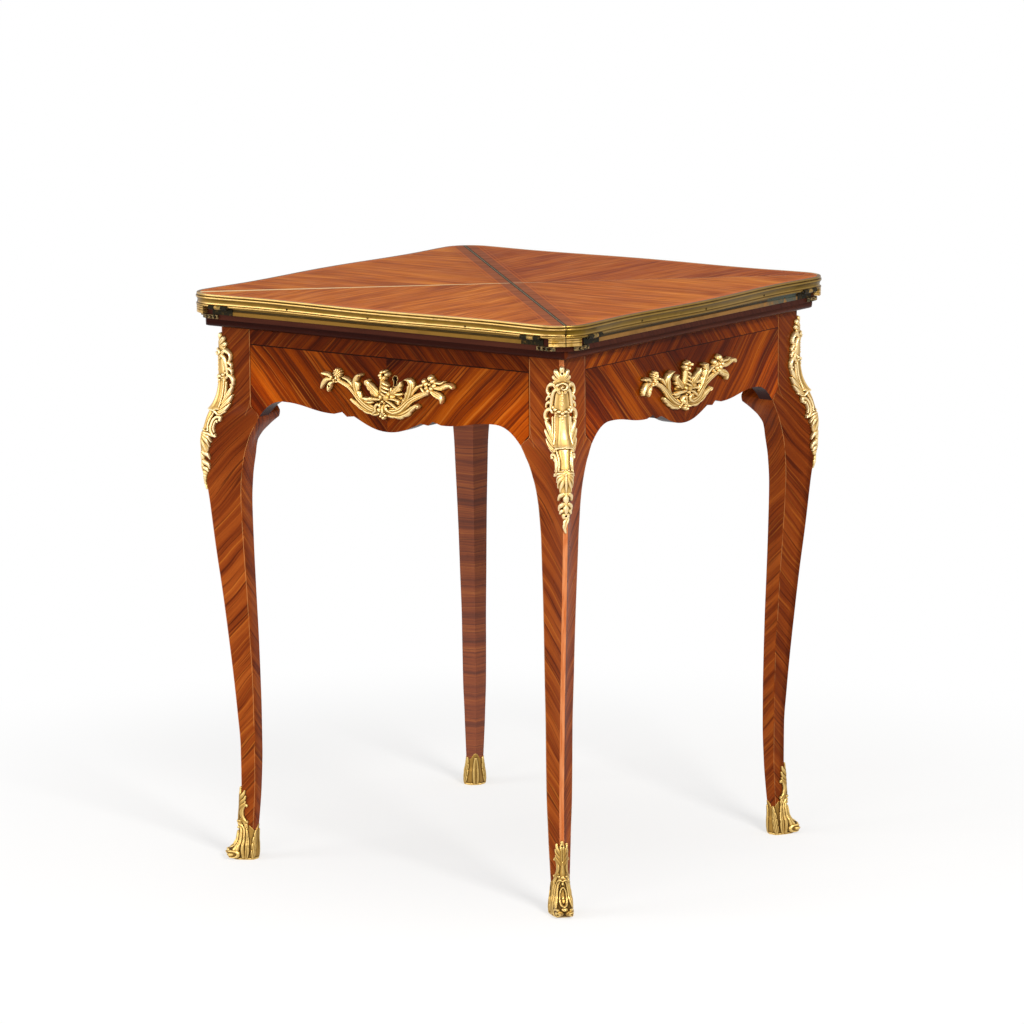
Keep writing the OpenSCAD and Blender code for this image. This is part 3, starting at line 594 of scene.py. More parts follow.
def apron_relief():
    """The spray of branches, leaves and two flowers on each side of the frame: x from the middle, y the height."""
    g = Relief(-111, 116, 605, 680, 0.42)
    # ground of the casting behind the middle
    g.ball(2, 641, 13, 6.2, 0.6).ball(-1, 627, 10.5, 5.4, 0.6).ball(-16, 641, 9, 5, 0.6).ball(18, 638, 9, 5, 0.6)
    g.pierce(-17.4, 630.4, 3, 1.7, 12).pierce(16.4, 629.4, 2.8, 1.5, -40)
    # outer leaves along the lower edge
    g.blade("-11.7 618.4 2.9 4, -20.1 618.6 3.8 5, -32 621.3 4.1 5.5, -42.3 626.6 3.7 6, -49.6 631 2.9 6.5, "
            "-53.5 633.5 1.9 7", (0,), 4, 1, 0.45)
    g.ball(-53.2, 633.6, 2.2, 7.4)
    g.blade("-0.9 619 3.2 4, 12 618.2 4.4 5, 25 619.7 5.4 6, 36.5 625.1 5.1 7, 44.9 631.2 3.4 8, "
            "50.6 633.5 2.5 8.5", (0,), 4, -1, 0.45)
    g.tube("44.9 632.6 1.9 8, 50.3 634.7 2.2 9, 53.6 633.5 1.9 8.6, 51.9 631 1.3 7.6")
    # main branches: broad ribbed blades
    g.blade("-14.4 622.3 4.4 6, -23.1 624.4 5.4 7, -32.7 629.2 5.6 7.4, -41.1 635.5 5 7.4, -48.9 642.8 4.1 7.2, "
            "-57.4 649.4 3.5 7, -67.1 653.8 3.1 7.4, -72.8 656.2 2.6 8", (0, 0.55))
    g.blade("3.7 623.9 4.9 6, 13.8 623.5 6.2 7.2, 24 626.9 6.2 7.6, 31.6 633.2 5.7 7.4, 38.4 639.3 4.9 7.2, "
            "47.5 644.3 4.3 7.2, 56.8 648.4 4 7.4, 67.1 652.2 3.4 8", (0, 0.55))
    # thin stems
    g.tube("-51.2 650.8 2.2 6, -55 655.5 2.5 7, -59.6 659.1 2.5 7.4, -65.4 660.8 2.1 7.4")
    g.tube("43.7 650.5 2.2 6, 49 655.7 2.5 7, 54.2 659.4 2.5 7.4, 60 661.5 2.2 7.4")
    # tall upright leaves whose tips turn over
    g.blade("-37.6 632.5 3.7 6, -42.9 641.5 5.4 7.4, -45.3 650.6 5.7 8.4, -46 657.7 4.7 9, -43.3 663.1 3.4 9.6, "
            "-38.3 666.3 1.9 10", (0.1, 0.55), 3, -1, 0.6)
    g.tube("-45.3 662.7 1.8 9, -40.8 665.9 2.1 10.4, -36.2 666.7 1.6 10")
    g.blade("25.2 630.7 4.4 6, 34.7 641.4 6.5 7.4, 39.7 651.7 6.8 8.4, 41.8 659.5 5.7 9, 40.4 665 4 9.8, "
            "36.6 666.7 1.9 10", (0.1, 0.55), 4, 1, 0.5)
    g.tube("41.9 663.4 2.2 9, 40.1 666.6 2.4 10.6, 34.8 666.5 1.6 10")
    # inner leaves
    g.blade("-8.6 639.4 4 6.4, -15.1 644.8 6.2 8, -21.3 650.2 6.3 8.4, -25.9 655.2 4.9 8.8, "
            "-27.5 659.3 2.9 9.4", (0.15, 0.55), 4, 1, 0.5)
    g.tube("-29.2 655.6 1.6 8.4, -28.3 659.3 2.1 9.6, -25.2 660.5 1.8 9.6")
    g.blade("5.8 642.2 3.7 6.4, 14.7 648.1 4.9 8, 21.4 653.8 4.9 8.6, 25.5 658.6 3.4 9, "
            "26.7 661.8 2.1 9", (0.15, 0.55), 4, -1, 0.5)
    g.blade("15.2 646.3 2.2 6.6, 22.8 646.3 2.5 7.6, 28 647.4 1.5 7.4")
    g.blade("10.1 646.4 1.5 6, 10.4 650.7 1.6 7, 10.4 653.6 0.9 6.6")
    # folded leaves beside the knot
    g.blade("-6.8 637.8 2.5 7, -14 637.6 3.1 8.6, -21.2 637.3 3.2 8.8, -28.3 636.1 2.9 8, "
            "-33.5 637.1 1.9 8", (0.2,), 3)
    g.tube("-22.1 637.6 1.9 8, -13.7 638.1 2.6 10, -6.8 637.8 2.4 9")
    g.blade("-31.4 632.5 2.2 6, -25.5 632.2 2.5 6.6, -19.1 633.2 1.8 6")
    g.tube("3.9 636.6 1.9 8, 10.4 634.7 2.5 9.4, 15.4 631.5 2.5 9.2, 19.6 628.5 1.8 8")
    g.tube("8.2 639.4 1.9 7.6, 16.8 639.6 2.6 9.2, 22.4 637.6 2.5 9, 23.1 634.2 1.6 8")
    g.ball(22.6, 634.9, 1.9, 8.6)
    # body of the stem and its twist
    g.blade("-3 638 8.8 6, -2.5 646.7 7.9 7, -2.7 655.3 5.9 7.4, -3.1 662.6 4.4 7.4")
    for k in range(4):
        z, r = 659.6 - 5.0 * k, 4.0 + 0.95 * k
        g.tube([(-r - 1, z + 3.4, 1.6, 6), (-r * 0.3, z + 1.1, 2.4, 9.6), (r * 0.4, z - 1.3, 2.4, 9.8),
                (r + 1, z - 3.6, 1.5, 6)])
    g.balls("3.3 641.1 7.4 9.2, 12.7 642.1 6.2 8.2, -5.5 641 4.9 8.4, 7.1 645.2 5.1 8")
    # flower at the head of the stem
    g.balls("-6.2 668.6 3.4 9, -3.7 672.5 3.2 9, 0.9 673.8 2.9 9, 5.1 670.7 3.4 10.6, 0.6 666.1 3.2 9.6, "
            "-4.7 665.6 2.9 9")
    g.dent(-2, 669.8, 1.3, 5)
    # volutes, knot and drop
    g.tube("-19.4 618.8 2.2 6, -14.5 622.5 2.6 7.4, -14.3 626.6 2.8 8.4, -12 630.3 2.9 9, -7.7 630.9 2.6 9, "
            "-6.3 628.2 2.1 8.4")
    g.tube("13.3 621.7 2.5 6.6, 8.3 623.1 2.8 7.6, 3.6 625.4 2.8 8.2, 2.6 629.1 2.8 8.8, 6.1 631.6 2.6 9, "
            "9 630.3 2.1 8.4")
    g.balls("-1.3 635.7 2.5 10, -5.2 633.1 1.6 9, 1.2 633.9 1.5 9, -8.5 624.3 4.4 8")
    g.blade("-3.6 629.4 2.2 6, -3.5 623.4 2.9 7, -3.6 618.5 2.2 7")
    g.balls("-6.7 616.1 2.5 7.4, 1.2 617.4 2.6 8, -2.1 614.4 2.8 8.2, -5.1 618.9 2.2 7, -1.1 619.7 2.1 7")
    g.dent(-3.9, 619, 1.1, 4)
    # left flower, with a small one below it, a bud and leaves
    g.rosette(-74.8, 665.5, 6.6, 10)
    g.balls("-80.8 656.7 2.2 8.4, -76.8 658.8 2.2 8.8, -72.7 658.1 2.2 8.8, -71.9 655.5 1.9 8.4, "
            "-76.2 654.6 2.2 8.4, -80.6 654.2 1.9 8")
    g.dent(-77.1, 656.4, 1.1, 5)
    g.blade("-85.1 659.9 2.2 7, -89.7 662.8 2.9 8, -94.4 663.4 2.8 8.4, -98.8 663.7 1.9 8", (0,))
    g.blade("-86.6 657.2 2.4 7, -93 656.1 3.5 8, -97.7 652 3.4 8, -100.3 646.8 2.1 7.6, -101.1 644 0.9 7", (0, 0.5))
    g.blade("-83.9 653 1.9 7, -86.5 651 3.4 8.4, -88.3 647.2 3.5 8.6, -89.5 643.1 2.1 8, -89.3 641.3 0.9 7", (0,))
    g.dent(-87.8, 647.9, 1.5, 4)
    # right flower with its leaves
    g.balls("62.5 666.2 4.1 8.2, 65.9 663.1 4 8.4, 72.6 671.3 4.6 9.2, 76.2 667.7 4.1 8.8, 78.9 662.1 4.3 9.2, "
            "74.6 658.4 4.3 9.2, 69.7 654.9 3.7 10, 66.5 658.4 3.2 8.8, 71.8 663.4 2.5 8.6")
    g.dent(68.9, 662.1, 1.2, 4.5)
    g.blade("76.6 663.1 1.9 7, 82.8 666 2.5 8, 89.3 666 2.5 8.2, 94.9 668.7 1.2 8", (), 3)
    g.blade("80 659.4 2.5 8, 88.5 660.3 3.8 9.2, 97.1 663.5 3.8 9.8, 103.7 664.3 2.9 9.8, "
            "107.5 661.4 1.6 9", (0, 0.5))
    g.tube("98.9 665.7 1.6 9, 105.3 665.3 1.9 10.4, 108.1 662 1.5 9.4")
    g.blade("73.4 655 2.9 8, 80.1 651.3 4.9 9, 86.7 648.8 4.7 9.4, 89.9 645.2 2.9 9, "
            "89.4 640.9 1 8", (0.1, 0.55), 4, -1, 0.4)
    g.blade("62.6 652.3 2.2 7, 59.9 655.7 1.9 7.4, 58.1 657.7 1.2 7")
    return g


def surface_obj(name, g, put, body, look, turn=None, replaces=(), flip=False):
    """The height field g laid on a surface by put(x, y, h)."""
    x, y, h, quads, hollow = g.grid()
    p = put(x, y, h)
    o = mesh_obj(name, turn(p) if turn else p, quads[:, ::-1] if flip else quads, body, [M[look]],
                 replaces=replaces)
    o.data.attributes.new("hollow", "FLOAT", "POINT").data.foreach_set("value", hollow.astype(np.float32))
    return o


def front_put(x, y, h):
    """Lays a height field on the front of the frame."""
    return np.stack([x, -FRAME_HALF - h, y], 1)


def chute_relief():
    """Corner mount of the knee: x is the distance from the leg's corner round either face, y the height."""
    g = Relief(-29, 29, 491, 705, 0.45)
    # scalloped leaf round the upper screw
    g.ball(0, 688, 10.5, 4.6, 0.6)
    for turn, reach in ((0, 17.4), (30, 15.6), (60, 12.4), (90, 9)):
        s, c = math.sin(math.radians(turn)), math.cos(math.radians(turn))
        row = [(k * reach * s, 682 + k * reach * c, 1.8 + 1.7 * k, 4.6 + 0.5 * k) for k in (0.1, 0.4, 0.7, 0.95)]
        g.pair("blade", row, (0,))
        g.pair("ball", reach * s, 682 + reach * c, 3.1, 5.2)
    # upper scrolls, a broad band each side
    g.pair("blade", "3 669 2.2 5.4, 5.6 675 2.8 6.2, 10 679.4 3.1 6.8, 15 678.8 3.1 6.8, 19 674.6 2.9 6.4, "
            "20.4 669.6 2.4 6, 18.4 666.4 1.7 5.4", (0,))
    g.pair("ball", 17.6, 668.6, 2.3, 6.2)
    g.pair("blade", "3 674 2.2 6, 8 671.6 2.8 6.6, 11.8 665 2.9 6.6, 13.8 657 2.6 6, 15 649 2 5.4", (0,))
    # claws outside them
    g.pair("blade", "13 662.6 2.2 5, 17.4 664 2.6 5.6, 20.8 662 2 5.4, 22.4 658.6 0.9 5")
    g.pair("blade", "13.6 654.6 2.2 5, 18 656.4 2.7 5.6, 22 653.8 2 5.4, 23.2 649.8 0.9 5")
    # fluted panel with a string of beads, and the swag under it
    g.slab("640 11 4.8 3.4, 655 11 4.8 3.4, 667 8.6 4.8 3.4, 674 6.4 4.6 3", 3, 0.6)
    for k in range(6):
        g.ball(0.5 * (-1) ** k, 669 - 3.1 * k, 1.7 + 0.06 * k, 6.4)
    for x, z, r, h in rows("11 650.4 2.3 6, 7.6 648 2.8 6.8, 3.6 645.8 2.7 7, 2.7 640.6 2 6.6, 6.2 644 1.9 6"):
        g.pair("ball", x, z, r, h)
    g.ball(0, 643.8, 3.3, 7.8).ball(0, 637.6, 2.6, 7).ball(0, 633.6, 1.8, 6.4)
    # hooked boss between the scrolls
    g.ball(0, 675.6, 6.2, 6.2)
    g.scroll(0.6, 676.4, 5.8, 1.15, 165, -1, 2.1, 8.4, 1.5)
    # second scrolls, with an eye pierced beside the shaft
    g.pair("blade", "12.6 644 2 5, 16 647.4 2.5 5.6, 20.8 646.6 2.8 6, 24.2 642 2.8 6, 24.6 636.6 2.3 5.6, "
            "22 633.4 1.6 5", (0,))
    g.pair("ball", 21.4, 635.8, 2.1, 5.8)
    # smooth shaft that flares to a lip, with ribs beside it
    g.slab("603 15 8.4 6.4, 607 14 6.6 5, 612 13 5.2 3.8, 620 12 4.4 3, 636 11.4 4.2 2.8, 650 11 4.2 2.8")
    g.slab("602.6 7.6 9.6 8.4, 606 7.2 8.2 7, 612 6.6 7 5.6, 620 6 6.4 4.6, 632 5.4 6 4.2, 640 5 5.6 4")
    g.pair("tube", "8 640 1.3 4.8, 8.2 628 1.4 5, 9 616 1.6 5.6, 10.4 606 1.9 7.4")
    g.pair("tube", "12.4 638 1.4 4.8, 12.6 626 1.6 5, 13.2 614 1.7 5.2, 14.6 604 1.8 6")
    # broad smooth leaf each side, in three folds
    g.pair("blade", "10 606 3 4.6, 13.6 613 4.4 5.4, 17.4 621 4.6 6, 21 628 3.6 6, "
            "24 632.6 1.6 5.4", (0,), depth=0.4)
    g.pair("blade", "10 602 3 5, 15 607 4.6 6, 20 613.4 4.8 6.4, 24 619 3 6, 25.8 622 1.2 5.4", (0,), depth=0.4)
    g.pair("blade", "10 598.6 2.6 5.4, 15.4 600.4 4.4 6.2, 20.4 604 4.2 6.4, 24 608.4 2.4 6, "
            "25.4 611 1 5.2", (0,), depth=0.4)
    g.pair("ball", 22.4, 600.2, 1.9, 5)
    g.pair("tube", "0 603.4 1.9 9.8, 5 602.2 2 9.4, 9.6 599.2 2 8, 14 596.8 1.9 6.6, 18.6 597.4 1.7 5.8, "
            "21.6 600 1.5 5")
    # framed panel of the neck, between wide smooth scrolls
    g.slab("575 8.4 5.4 4, 584 7.4 5.6 4.4, 592 7.8 5.8 4.6, 600 9 6.2 5", 2, 0.35)
    g.pair("tube", "6.9 599 1.1 6.8, 5.6 590 1.1 6.6, 5.4 582 1.1 6.4, 6.2 576 1.1 6.2")
    g.pair("blade", "20.6 588.4 1.6 5.2, 18.8 592.4 2.4 5.8, 14 593.6 2.6 6, 10 590 2.6 6.2, 8.8 583 2.6 6.4, "
            "9.6 575.6 2.6 6.2, 13 569.6 2.4 5.8, 17.4 567.4 1.7 5.2", (0,))
    g.pair("blade", "16.4 586 1.3 4.6, 14.4 588.2 1.7 5, 12.8 584.6 1.8 5.2, 12.8 578 1.8 5.2, 15 573.2 1.4 4.8")
    g.pair("ball", 18.6, 589.4, 2.3, 5.8).pair("ball", 16.4, 569.4, 2.1, 5.4)
    for k in range(-3, 4):
        g.ball(2.9 * k, 576.4 - 0.28 * k * k, 1.55, 7.4 - 0.2 * abs(k))
    # shell under the neck
    g.slab("546 8 5 4, 556 10.4 5.8 4.8, 566 10.6 6.2 5, 575 9.4 6 4.8")
    for x, y, w in ((13.2, 567.4, 2.4), (12, 560, 2.6), (9.6, 553.6, 2.5), (5.6, 549.4, 2.3)):
        g.pair("blade", [(1, 573.4, 1.3, 6.4), (0.55 * x, 0.45 * 573.4 + 0.55 * y + 1, w, 7.2), (x, y, 0.9, 5)])
    g.blade("0 572 1.6 7.6, 0 564 2.8 8, 0 556 2.6 7.4, 0 548 1 5.6")
    g.ball(0, 570.6, 3, 8.2).pair("ball", 13.4, 570, 1.8, 5.8)
    # two husks, a bud with its screw, and the tail
    for top, wide, h in ((548, 10.4, 5.4), (535.4, 9.4, 5)):
        g.pair("blade", [(0.8, top - 1, 2.4, h), (4.4, top - 2.6, 3, h + 0.4), (8, top - 6, 2.6, h),
                         (wide, top - 10.4, 1, h - 1)])
        g.blade([(0, top, 2.2, h + 0.4), (0, top - 6, 3.6, h + 1.2), (0, top - 11, 3, h + 0.8), (0, top - 15, 1, h)])
        g.pair("ball", 3.4, top - 0.6, 2, h + 0.8)
    g.ball(0, 519.4, 6, 4.6, 0.6)
    g.pair("blade", "1 526.4 2.4 4.4, 4.6 525 2.6 4.8, 7 521.6 1.6 4.2")
    g.blade("1.6 515 4 4.4, -0.6 509.4 3.4 4.2, -1.4 503.6 2.6 3.6, 0.2 497.4 1.3 2.8", (0.1,), 3, 0, 0.25)
    # screw holes and pierced eyes
    g.dent(0, 693, 1.4, 4).dent(0, 519, 1.4, 4)
    for x in (-1, 1):
        g.pierce(16.2 * x, 671.6, 1.5, 2.2).pierce(17.6 * x, 640.8, 1.9, 2.8)
    return g


def leg_put(x, y, h):
    """Lays a height field on the leg in the corner +X +Y."""
    px, py, nf = leg_skin(y, x)
    k = np.clip((np.abs(x) - 1.0) / 6.0, 0, 1)
    k = (k * k * (3 - 2 * k))[:, None]
    n = nf * k + (1 - k) * ROOT
    n /= np.linalg.norm(n, axis=1)[:, None]
    a, b = px + n[:, 0] * h, py + n[:, 1] * h
    flip = x < 0
    return np.stack([np.where(flip, b, a), np.where(flip, a, b), y], 1)


# ---------------------------------------------------------------- wood materials
UNDER = "#2E0D07"
RAW_OAK = [(0.0, "#6B4A2A"), (0.45, "#8D673D"), (0.7, "#A67D4D"), (1.0, "#B98F5C")]
STRING = "#C9935A"


def oak(m, across, along, seed):
    band = m.grain(across, 160, along, 5, seed, 3, 0.55)
    pore = m.grain(across, 1500, along, 45, seed + 2)
    f = band * 0.75 + pore * 0.3
    return m.ramp(f, RAW_OAK), pore


def oak_wood(name, axis, seed):
    """Plain oak with its grain along an axis (0, 1 or 2)."""
    m = Mat(name)
    c = m.split(m.obj())
    others = [c[i] for i in range(3) if i != axis]
    col, pore = oak(m, others[0] + others[1] * 0.63, c[axis], seed)
    return m.set(color=col, rough=0.62, spec=0.3, normal=m.bump(pore, 0.00008, 0.5))


def face_wood(name, side, rise, seed, rail_z=None, rail=False):
    """Veneer of an apron or drawer front: the grain rises outwards (rise 1) or inwards (-1) from the middle."""
    m = Mat(name)
    c = m.split(m.obj())
    n = m.split(m.normal())
    along_axis, out_axis = (0, 1) if side in (0, 2) else (1, 0)
    out = -1 if side in (0, 3) else 1
    pos = c[along_axis]
    a = abs(pos)
    half = m.step(pos, -0.0001, 0.0001)
    z = c[2]
    across, along = m.mad(z, -rise, a) * ROOT, m.mad(z, rise, a) * ROOT
    col, h = veneer(m, across + half * (1.7 + seed), along, seed, wide=95.0 if rail else 46.0)
    if rail_z:
        col2, h2 = veneer(m, (z + a) * ROOT + half * 2.3, (a - z) * ROOT, seed + 9, wide=95.0)
        over = m.step(z, rail_z - 0.0001, rail_z + 0.0001)
        inside = m.step(a, 0.2212, 0.2208)
        col = m.mixc(over, col, col2)
        h = m.mixf(over, h, h2)
        groove = m.line(z, rail_z, 0.0006) * inside
        col = m.mixc(groove * 0.85, col, "#1C0704")
    # heartwood in the middle, painted shadow along the top under the cornice and over all of the rail, lighter wood
    # towards the ends
    mid = m.step(a, 0.17, 0.015)
    high = m.step(z, 0.63, 0.69)
    heartwood_and_shadow = 0.84 if rail else m.mad(mid, 0.58, high * 0.36, clamp=True)
    col = m.mixc(heartwood_and_shadow, col, (0.28, 0.2, 0.2), "MULTIPLY")
    ends = m.step(a, 0.13, 0.21) * m.step(z, 0.69, 0.63)
    col = m.mixc(ends * 0.25, col, "#C26A1E", "SOFT_LIGHT")
    if not rail_z:
        # darkened edges at the joint between drawer and rail
        gap = m.line(z, (FRAME_Z - DRAWER_JOINT) * MM, 0.0008, 0.0004)
        col = m.mixc(gap * 0.85, col, "#180603")
    seam = m.line(pos, 0.0, 0.0003, 0.0003)
    col = m.mixc(seam * 0.5, col, "#2A0C06")
    outward = m.step(n[out_axis] * out, 0.4, 0.6)
    behind = m.step(n[out_axis] * -out, 0.7, 0.9)
    raw, _ = oak(m, z, pos, seed)
    under = m.mixc(behind, UNDER, raw)
    return polish(m, m.mixc(outward, under, col), h)


# Half the width of the banding along the flaps' joins (metres)
BAND = 0.0165


def top_wood(name, side, seed):
    """Flap: veneer on its upper face at right angles to its edge, banding at the joins, and a border below."""
    m = Mat(name)
    c = m.split(m.obj())
    n = m.split(m.normal())
    run, out = (c[0], c[1]) if side in (0, 2) else (c[1], c[0])
    # a slight fan in the grain
    bend = m.grain(run, 5, out, 5, seed + 2)
    x = m.mad(bend - 0.5, 0.03, run)
    broad = m.grain(x, 34, out, 5, seed)
    band = m.grain(x, 260, out, 8, seed + 5, 3, 0.62)
    flash = m.grain(x, 150, out, 10, seed + 8)
    fine = m.grain(x, 1300, out, 20, seed + 9, 2, 0.6)
    f = broad * 0.42 + (band * 0.6 + fine * 0.15)
    f = m.mad(f - 0.585, 2.4, 0.5)
    col = m.ramp(f, TOP)
    col = m.mixc(m.step(flash, 0.56, 0.7) * 0.45, col, "#DA8A3E")
    vein = m.grain(x, 420, out, 6, seed + 15, 1)
    col = m.mixc(m.step(vein, 0.57, 0.68) * 0.42, col, "#743012")
    # the back flap is painted darker, as shading
    if side == 2:
        col = m.mixc(0.5, col, "#C49270", "MULTIPLY")
    h = band * 0.3 + fine
    ca, cb = (c[0] + c[1]) * ROOT, (c[0] - c[1]) * ROOT
    fb, lr = abs(ca), abs(cb)
    band2, hb = veneer(m, cb, ca, seed + 4, TOP_BAND, 90.0, 0.9, 0.3)
    in_band = m.step(fb, BAND, BAND - 0.002)
    col = m.mixc(in_band * 0.85, col, band2)
    h = m.mixf(in_band, h, hb)
    for at, k in ((BAND, 0.8), (BAND + 0.005, 0.5)):
        col = m.mixc(m.line(fb, at, 0.0007) * k, col, "#D06A2C")
    soft = m.step(fb, 0.04, 0.015) * (1.0 - in_band)
    col = m.mixc(soft * 0.25, col, "#8A4A28", "MULTIPLY")
    # a warmer edge beside the rim
    edge_out = out * (1 if side in (1, 2) else -1)
    col = m.mixc(m.step(edge_out, 0.282, 0.297) * 0.45, col, "#D2703A")
    # brass edging along both mitred edges, with the join between the flaps
    fb_col = m.mixc(m.step(fb, 0.0006, 0.0009), "#857A5C", "#20170E")
    # the left-right join's brass carries a painted highlight near the left corner that fades towards the right
    lr_brass_highlight = m.mixc(m.step(ca, -0.04, 0.06), "#E8CC94", "#96683C")
    brass_fb = m.step(fb, 0.0024, 0.0021)
    # the opening of the join between left and right grows towards the left corner
    wide = m.math("MAXIMUM", m.mad(ca, -0.0066, 0.0017), 0.001)
    brass_lr = m.step(lr - wide, 0.0002, -0.0002)
    col = m.mixc(brass_lr, col, lr_brass_highlight)
    col = m.mixc(brass_fb, col, fb_col)
    col = m.mixc(m.step(lr, 0.0004, 0.0002) * 0.5, col, "#5A3A20")
    # the lower face: a border round the cloth, the grain across it
    edge, _ = veneer(m, run, out, seed + 2, TOP_BAND, 90.0, 0.8, 0.6)
    up = m.step(n[2], 0.3, 0.6)
    down = m.step(n[2] * -1, 0.3, 0.6)
    col = m.mixc(down, col, edge)
    col = m.mixc(1.0 - m.math("MAXIMUM", up, down), col, "#4A2010")
    metal = m.math("MAXIMUM", brass_fb, brass_lr) * up * (1.0 - brass_fb)
    smear = m.noise(m.obj(), 38, 3, 0.6)
    return m.set(color=col, metal=metal * 0.7, rough=m.mad(smear - 0.5, 0.16, 0.5), spec=0.012,
                 normal=m.bump(h * (1.0 - metal), 0.00006, 0.4))


TOP = [(0.0, "#6E2E0C"), (0.3, "#9D4B16"), (0.5, "#B85F1C"), (0.72, "#CA7224"), (1.0, "#DF913A")]
TOP_BAND = [(0.0, "#5A2A16"), (0.35, "#7C3E20"), (0.6, "#914C29"), (1.0, "#A86034")]


def leg_wood(name, part, seed):
    """part: outer or inner faces of a leg, the flat on its corner, or its ends."""
    m = Mat(name)
    c = m.split(m.obj())
    arris, corner, _ = m.split(m.out("UVMap", uv_map="leg"))
    side = m.step(abs(c[0]) - abs(c[1]), -0.0001, 0.0001)
    z = c[2]
    if part == "outer":
        col, h = veneer(m, (corner - z) * ROOT + side * 3.1, (corner + z) * ROOT, seed, LEGWOOD, 88.0, 0.6, 1.0)
        col = m.mixc(m.step(corner, 0.011, 0.003) * (side * 0.4), col, "#6A2A18", "MULTIPLY")
        # painted shading: the heads of the far legs darker below the top, and a painted shadow at the head of the
        # near leg under the eave
        near_one = m.step(c[0], -0.001, 0.001) * m.step(c[1], 0.001, -0.001)
        head = m.step(z, 0.4, 0.62) * (1.0 - near_one)
        col = m.mixc(head * 0.68, col, (0.42, 0.33, 0.28), "MULTIPLY")
        eave = near_one * m.step(z, 0.62, 0.712)
        col = m.mixc(eave * 0.55, col, (0.42, 0.33, 0.28), "MULTIPLY")
        far_right = m.step(c[0], -0.001, 0.001) * m.step(c[1], -0.001, 0.001)
        low = far_right * m.step(z, 0.62, 0.4)
        col = m.mixc(low * 0.4, col, (0.5, 0.4, 0.3), "MULTIPLY")
        worn = m.grain(c[0], 40, c[1], 40, z * 30, 3, 0.6)
        string = m.line(arris, 0.0011, 0.0003) * m.step(worn, 0.35, 0.5)
        col = m.mixc(string * 0.6, col, STRING)
        joint = m.line(corner, 0.0475, 0.0003) * m.step(z, 0.5965, 0.5975)
        col = m.mixc(joint * 0.28, col, STRING)
        return polish(m, col, h)
    if part == "inner":
        e = abs(arris)
        col, h = veneer(m, (e + z) * ROOT + side * 2.1, (e - z) * ROOT, seed + 3, LEGWOOD, 84.0, 0.66, 0.9)
        col = m.mixc(0.14, col, "#5A2410", "MULTIPLY")
        # the back left leg is crossbanded inside, in a browner wood
        level, hl = veneer(m, z, e, seed + 6, LEGWOOD, 60.0, 1.5, 1.5)
        level = m.mixc(0.5, level, "#7A5246")
        far = m.step(c[0], 0.001, -0.001) * m.step(c[1], -0.001, 0.001)
        col = m.mixc(far, col, level)
        h = m.mixf(far, h, hl)
        return polish(m, col, h)
    if part == "flat":
        grain = m.grain(c[0], 300, c[1], 300, z * 12)
        col = m.ramp(grain, [(0.3, "#B5602F"), (0.6, "#C97C4C"), (1.0, "#D99566")])
        return polish(m, col, grain)
    return m.set(color=UNDER, rough=0.6)


def plain_wood(name, dark, light, rough, axis):
    m = Mat(name)
    c = m.split(m.obj())
    o = [c[i] for i in range(3) if i != axis]
    g = m.grain(o[0] + o[1] * 0.6, 170, c[axis], 7, 0.0, 3, 0.55)
    f = m.grain(o[0] + o[1], 1400, c[axis], 40)
    col = m.ramp(g * 0.8 + f * 0.2, [(0.3, dark), (0.75, light)])
    return polish(m, col, f, rough)


# ---------------------------------------------------------------- metal materials
def gilt(name, light, mid, dark, rough):
    """Fire-gilt bronze, with a painted highlight on its ridges and painted shading in its recesses."""
    m = Mat(name)
    p = m.obj()
    grain = m.noise(p, 900)
    cloud = m.noise(p, 60, 3, 0.6)
    at = m.out("Attribute", at="Fac", attribute_name="hollow")
    at = m.mad(cloud - 0.5, 0.25, at)
    f = m.mad(at, 0.5, 0.5)
    deep = tuple(0.5 * (a + b) for a, b in zip(srgb(mid), srgb(dark)))
    col = m.ramp(f, [(0.25, light), (0.48, mid), (0.62, deep), (0.85, dark)])
    pit = m.step(at, 0.1, 0.8)
    return m.set(color=col, metal=0.86, spec=0.3, rough=m.mad(pit, 0.25, m.mad(cloud, 0.16, rough - 0.08)),
                 normal=m.bump(grain, 0.00007, 0.5))


# Painted light of each height of the rim, from its lower edge up (mm, from painted shading in the grooves at 0 to
# painted highlight on the beads at 1)
RIM_LIGHT = rows("0 0.55, 1.6 0.75, 2.1 0.9, 2.5 0.2, 3.2 0.15, 3.6 0.85, 4.4 0.95, 5.2 0.62, 7.2 0.5, 9 0.42, "
                "9.7 0.2, 10.2 0.4, 10.9 0.95, 11.9 0.85, 12.5 0.4, 12.9 0.1, 13.4 0.16, 13.9 0.7, 15 0.9, "
                "15.9 0.75")


def mitre(m):
    """1 in the joint between two sides' pieces, on the diagonals."""
    x, y, _ = m.split(m.obj())
    return m.line(abs(x) - abs(y), 0.0, 0.0008)


def rim_brass(name, light, mid, dark, lip=None):
    """Brass moulding: painted highlights on its members and painted shading in the lines between them, and tarnish at
    random.
    """
    m = Mat(name)
    z = m.split(m.obj())[2]
    cloud = m.noise(m.obj(), 26, 4, 0.62)
    fine = m.noise(m.obj(), 700)
    h = m.mad(z, 1 / 0.016, -0.7401 / 0.016)
    painted_light = m.ramp(h, [(a / 16, (b, b, b)) for a, b in RIM_LIGHT])
    f = m.mad(cloud - 0.5, 0.5, painted_light)
    col = m.ramp(f, [(0.05, dark), (0.5, mid), (0.95, light)])
    tar = m.noise(m.obj(), 90, 3, 0.65)
    col = m.mixc(m.step(tar, 0.58, 0.75) * 0.35, col, dark)
    col = m.mixc(mitre(m), col, "#0C0804")
    up = m.step(m.split(m.normal())[2], 0.5, 0.95)
    # on the side rims the upper faces are painted brown, as painted shading
    if lip:
        col = m.mixc(up * 0.8, col, lip)
    return m.set(color=col, metal=m.mad(up, -0.88 if lip else -0.72, 0.9), spec=0.02, rough=m.mad(cloud, 0.2, 0.24),
                 normal=m.bump(fine, 0.00006, 0.4))


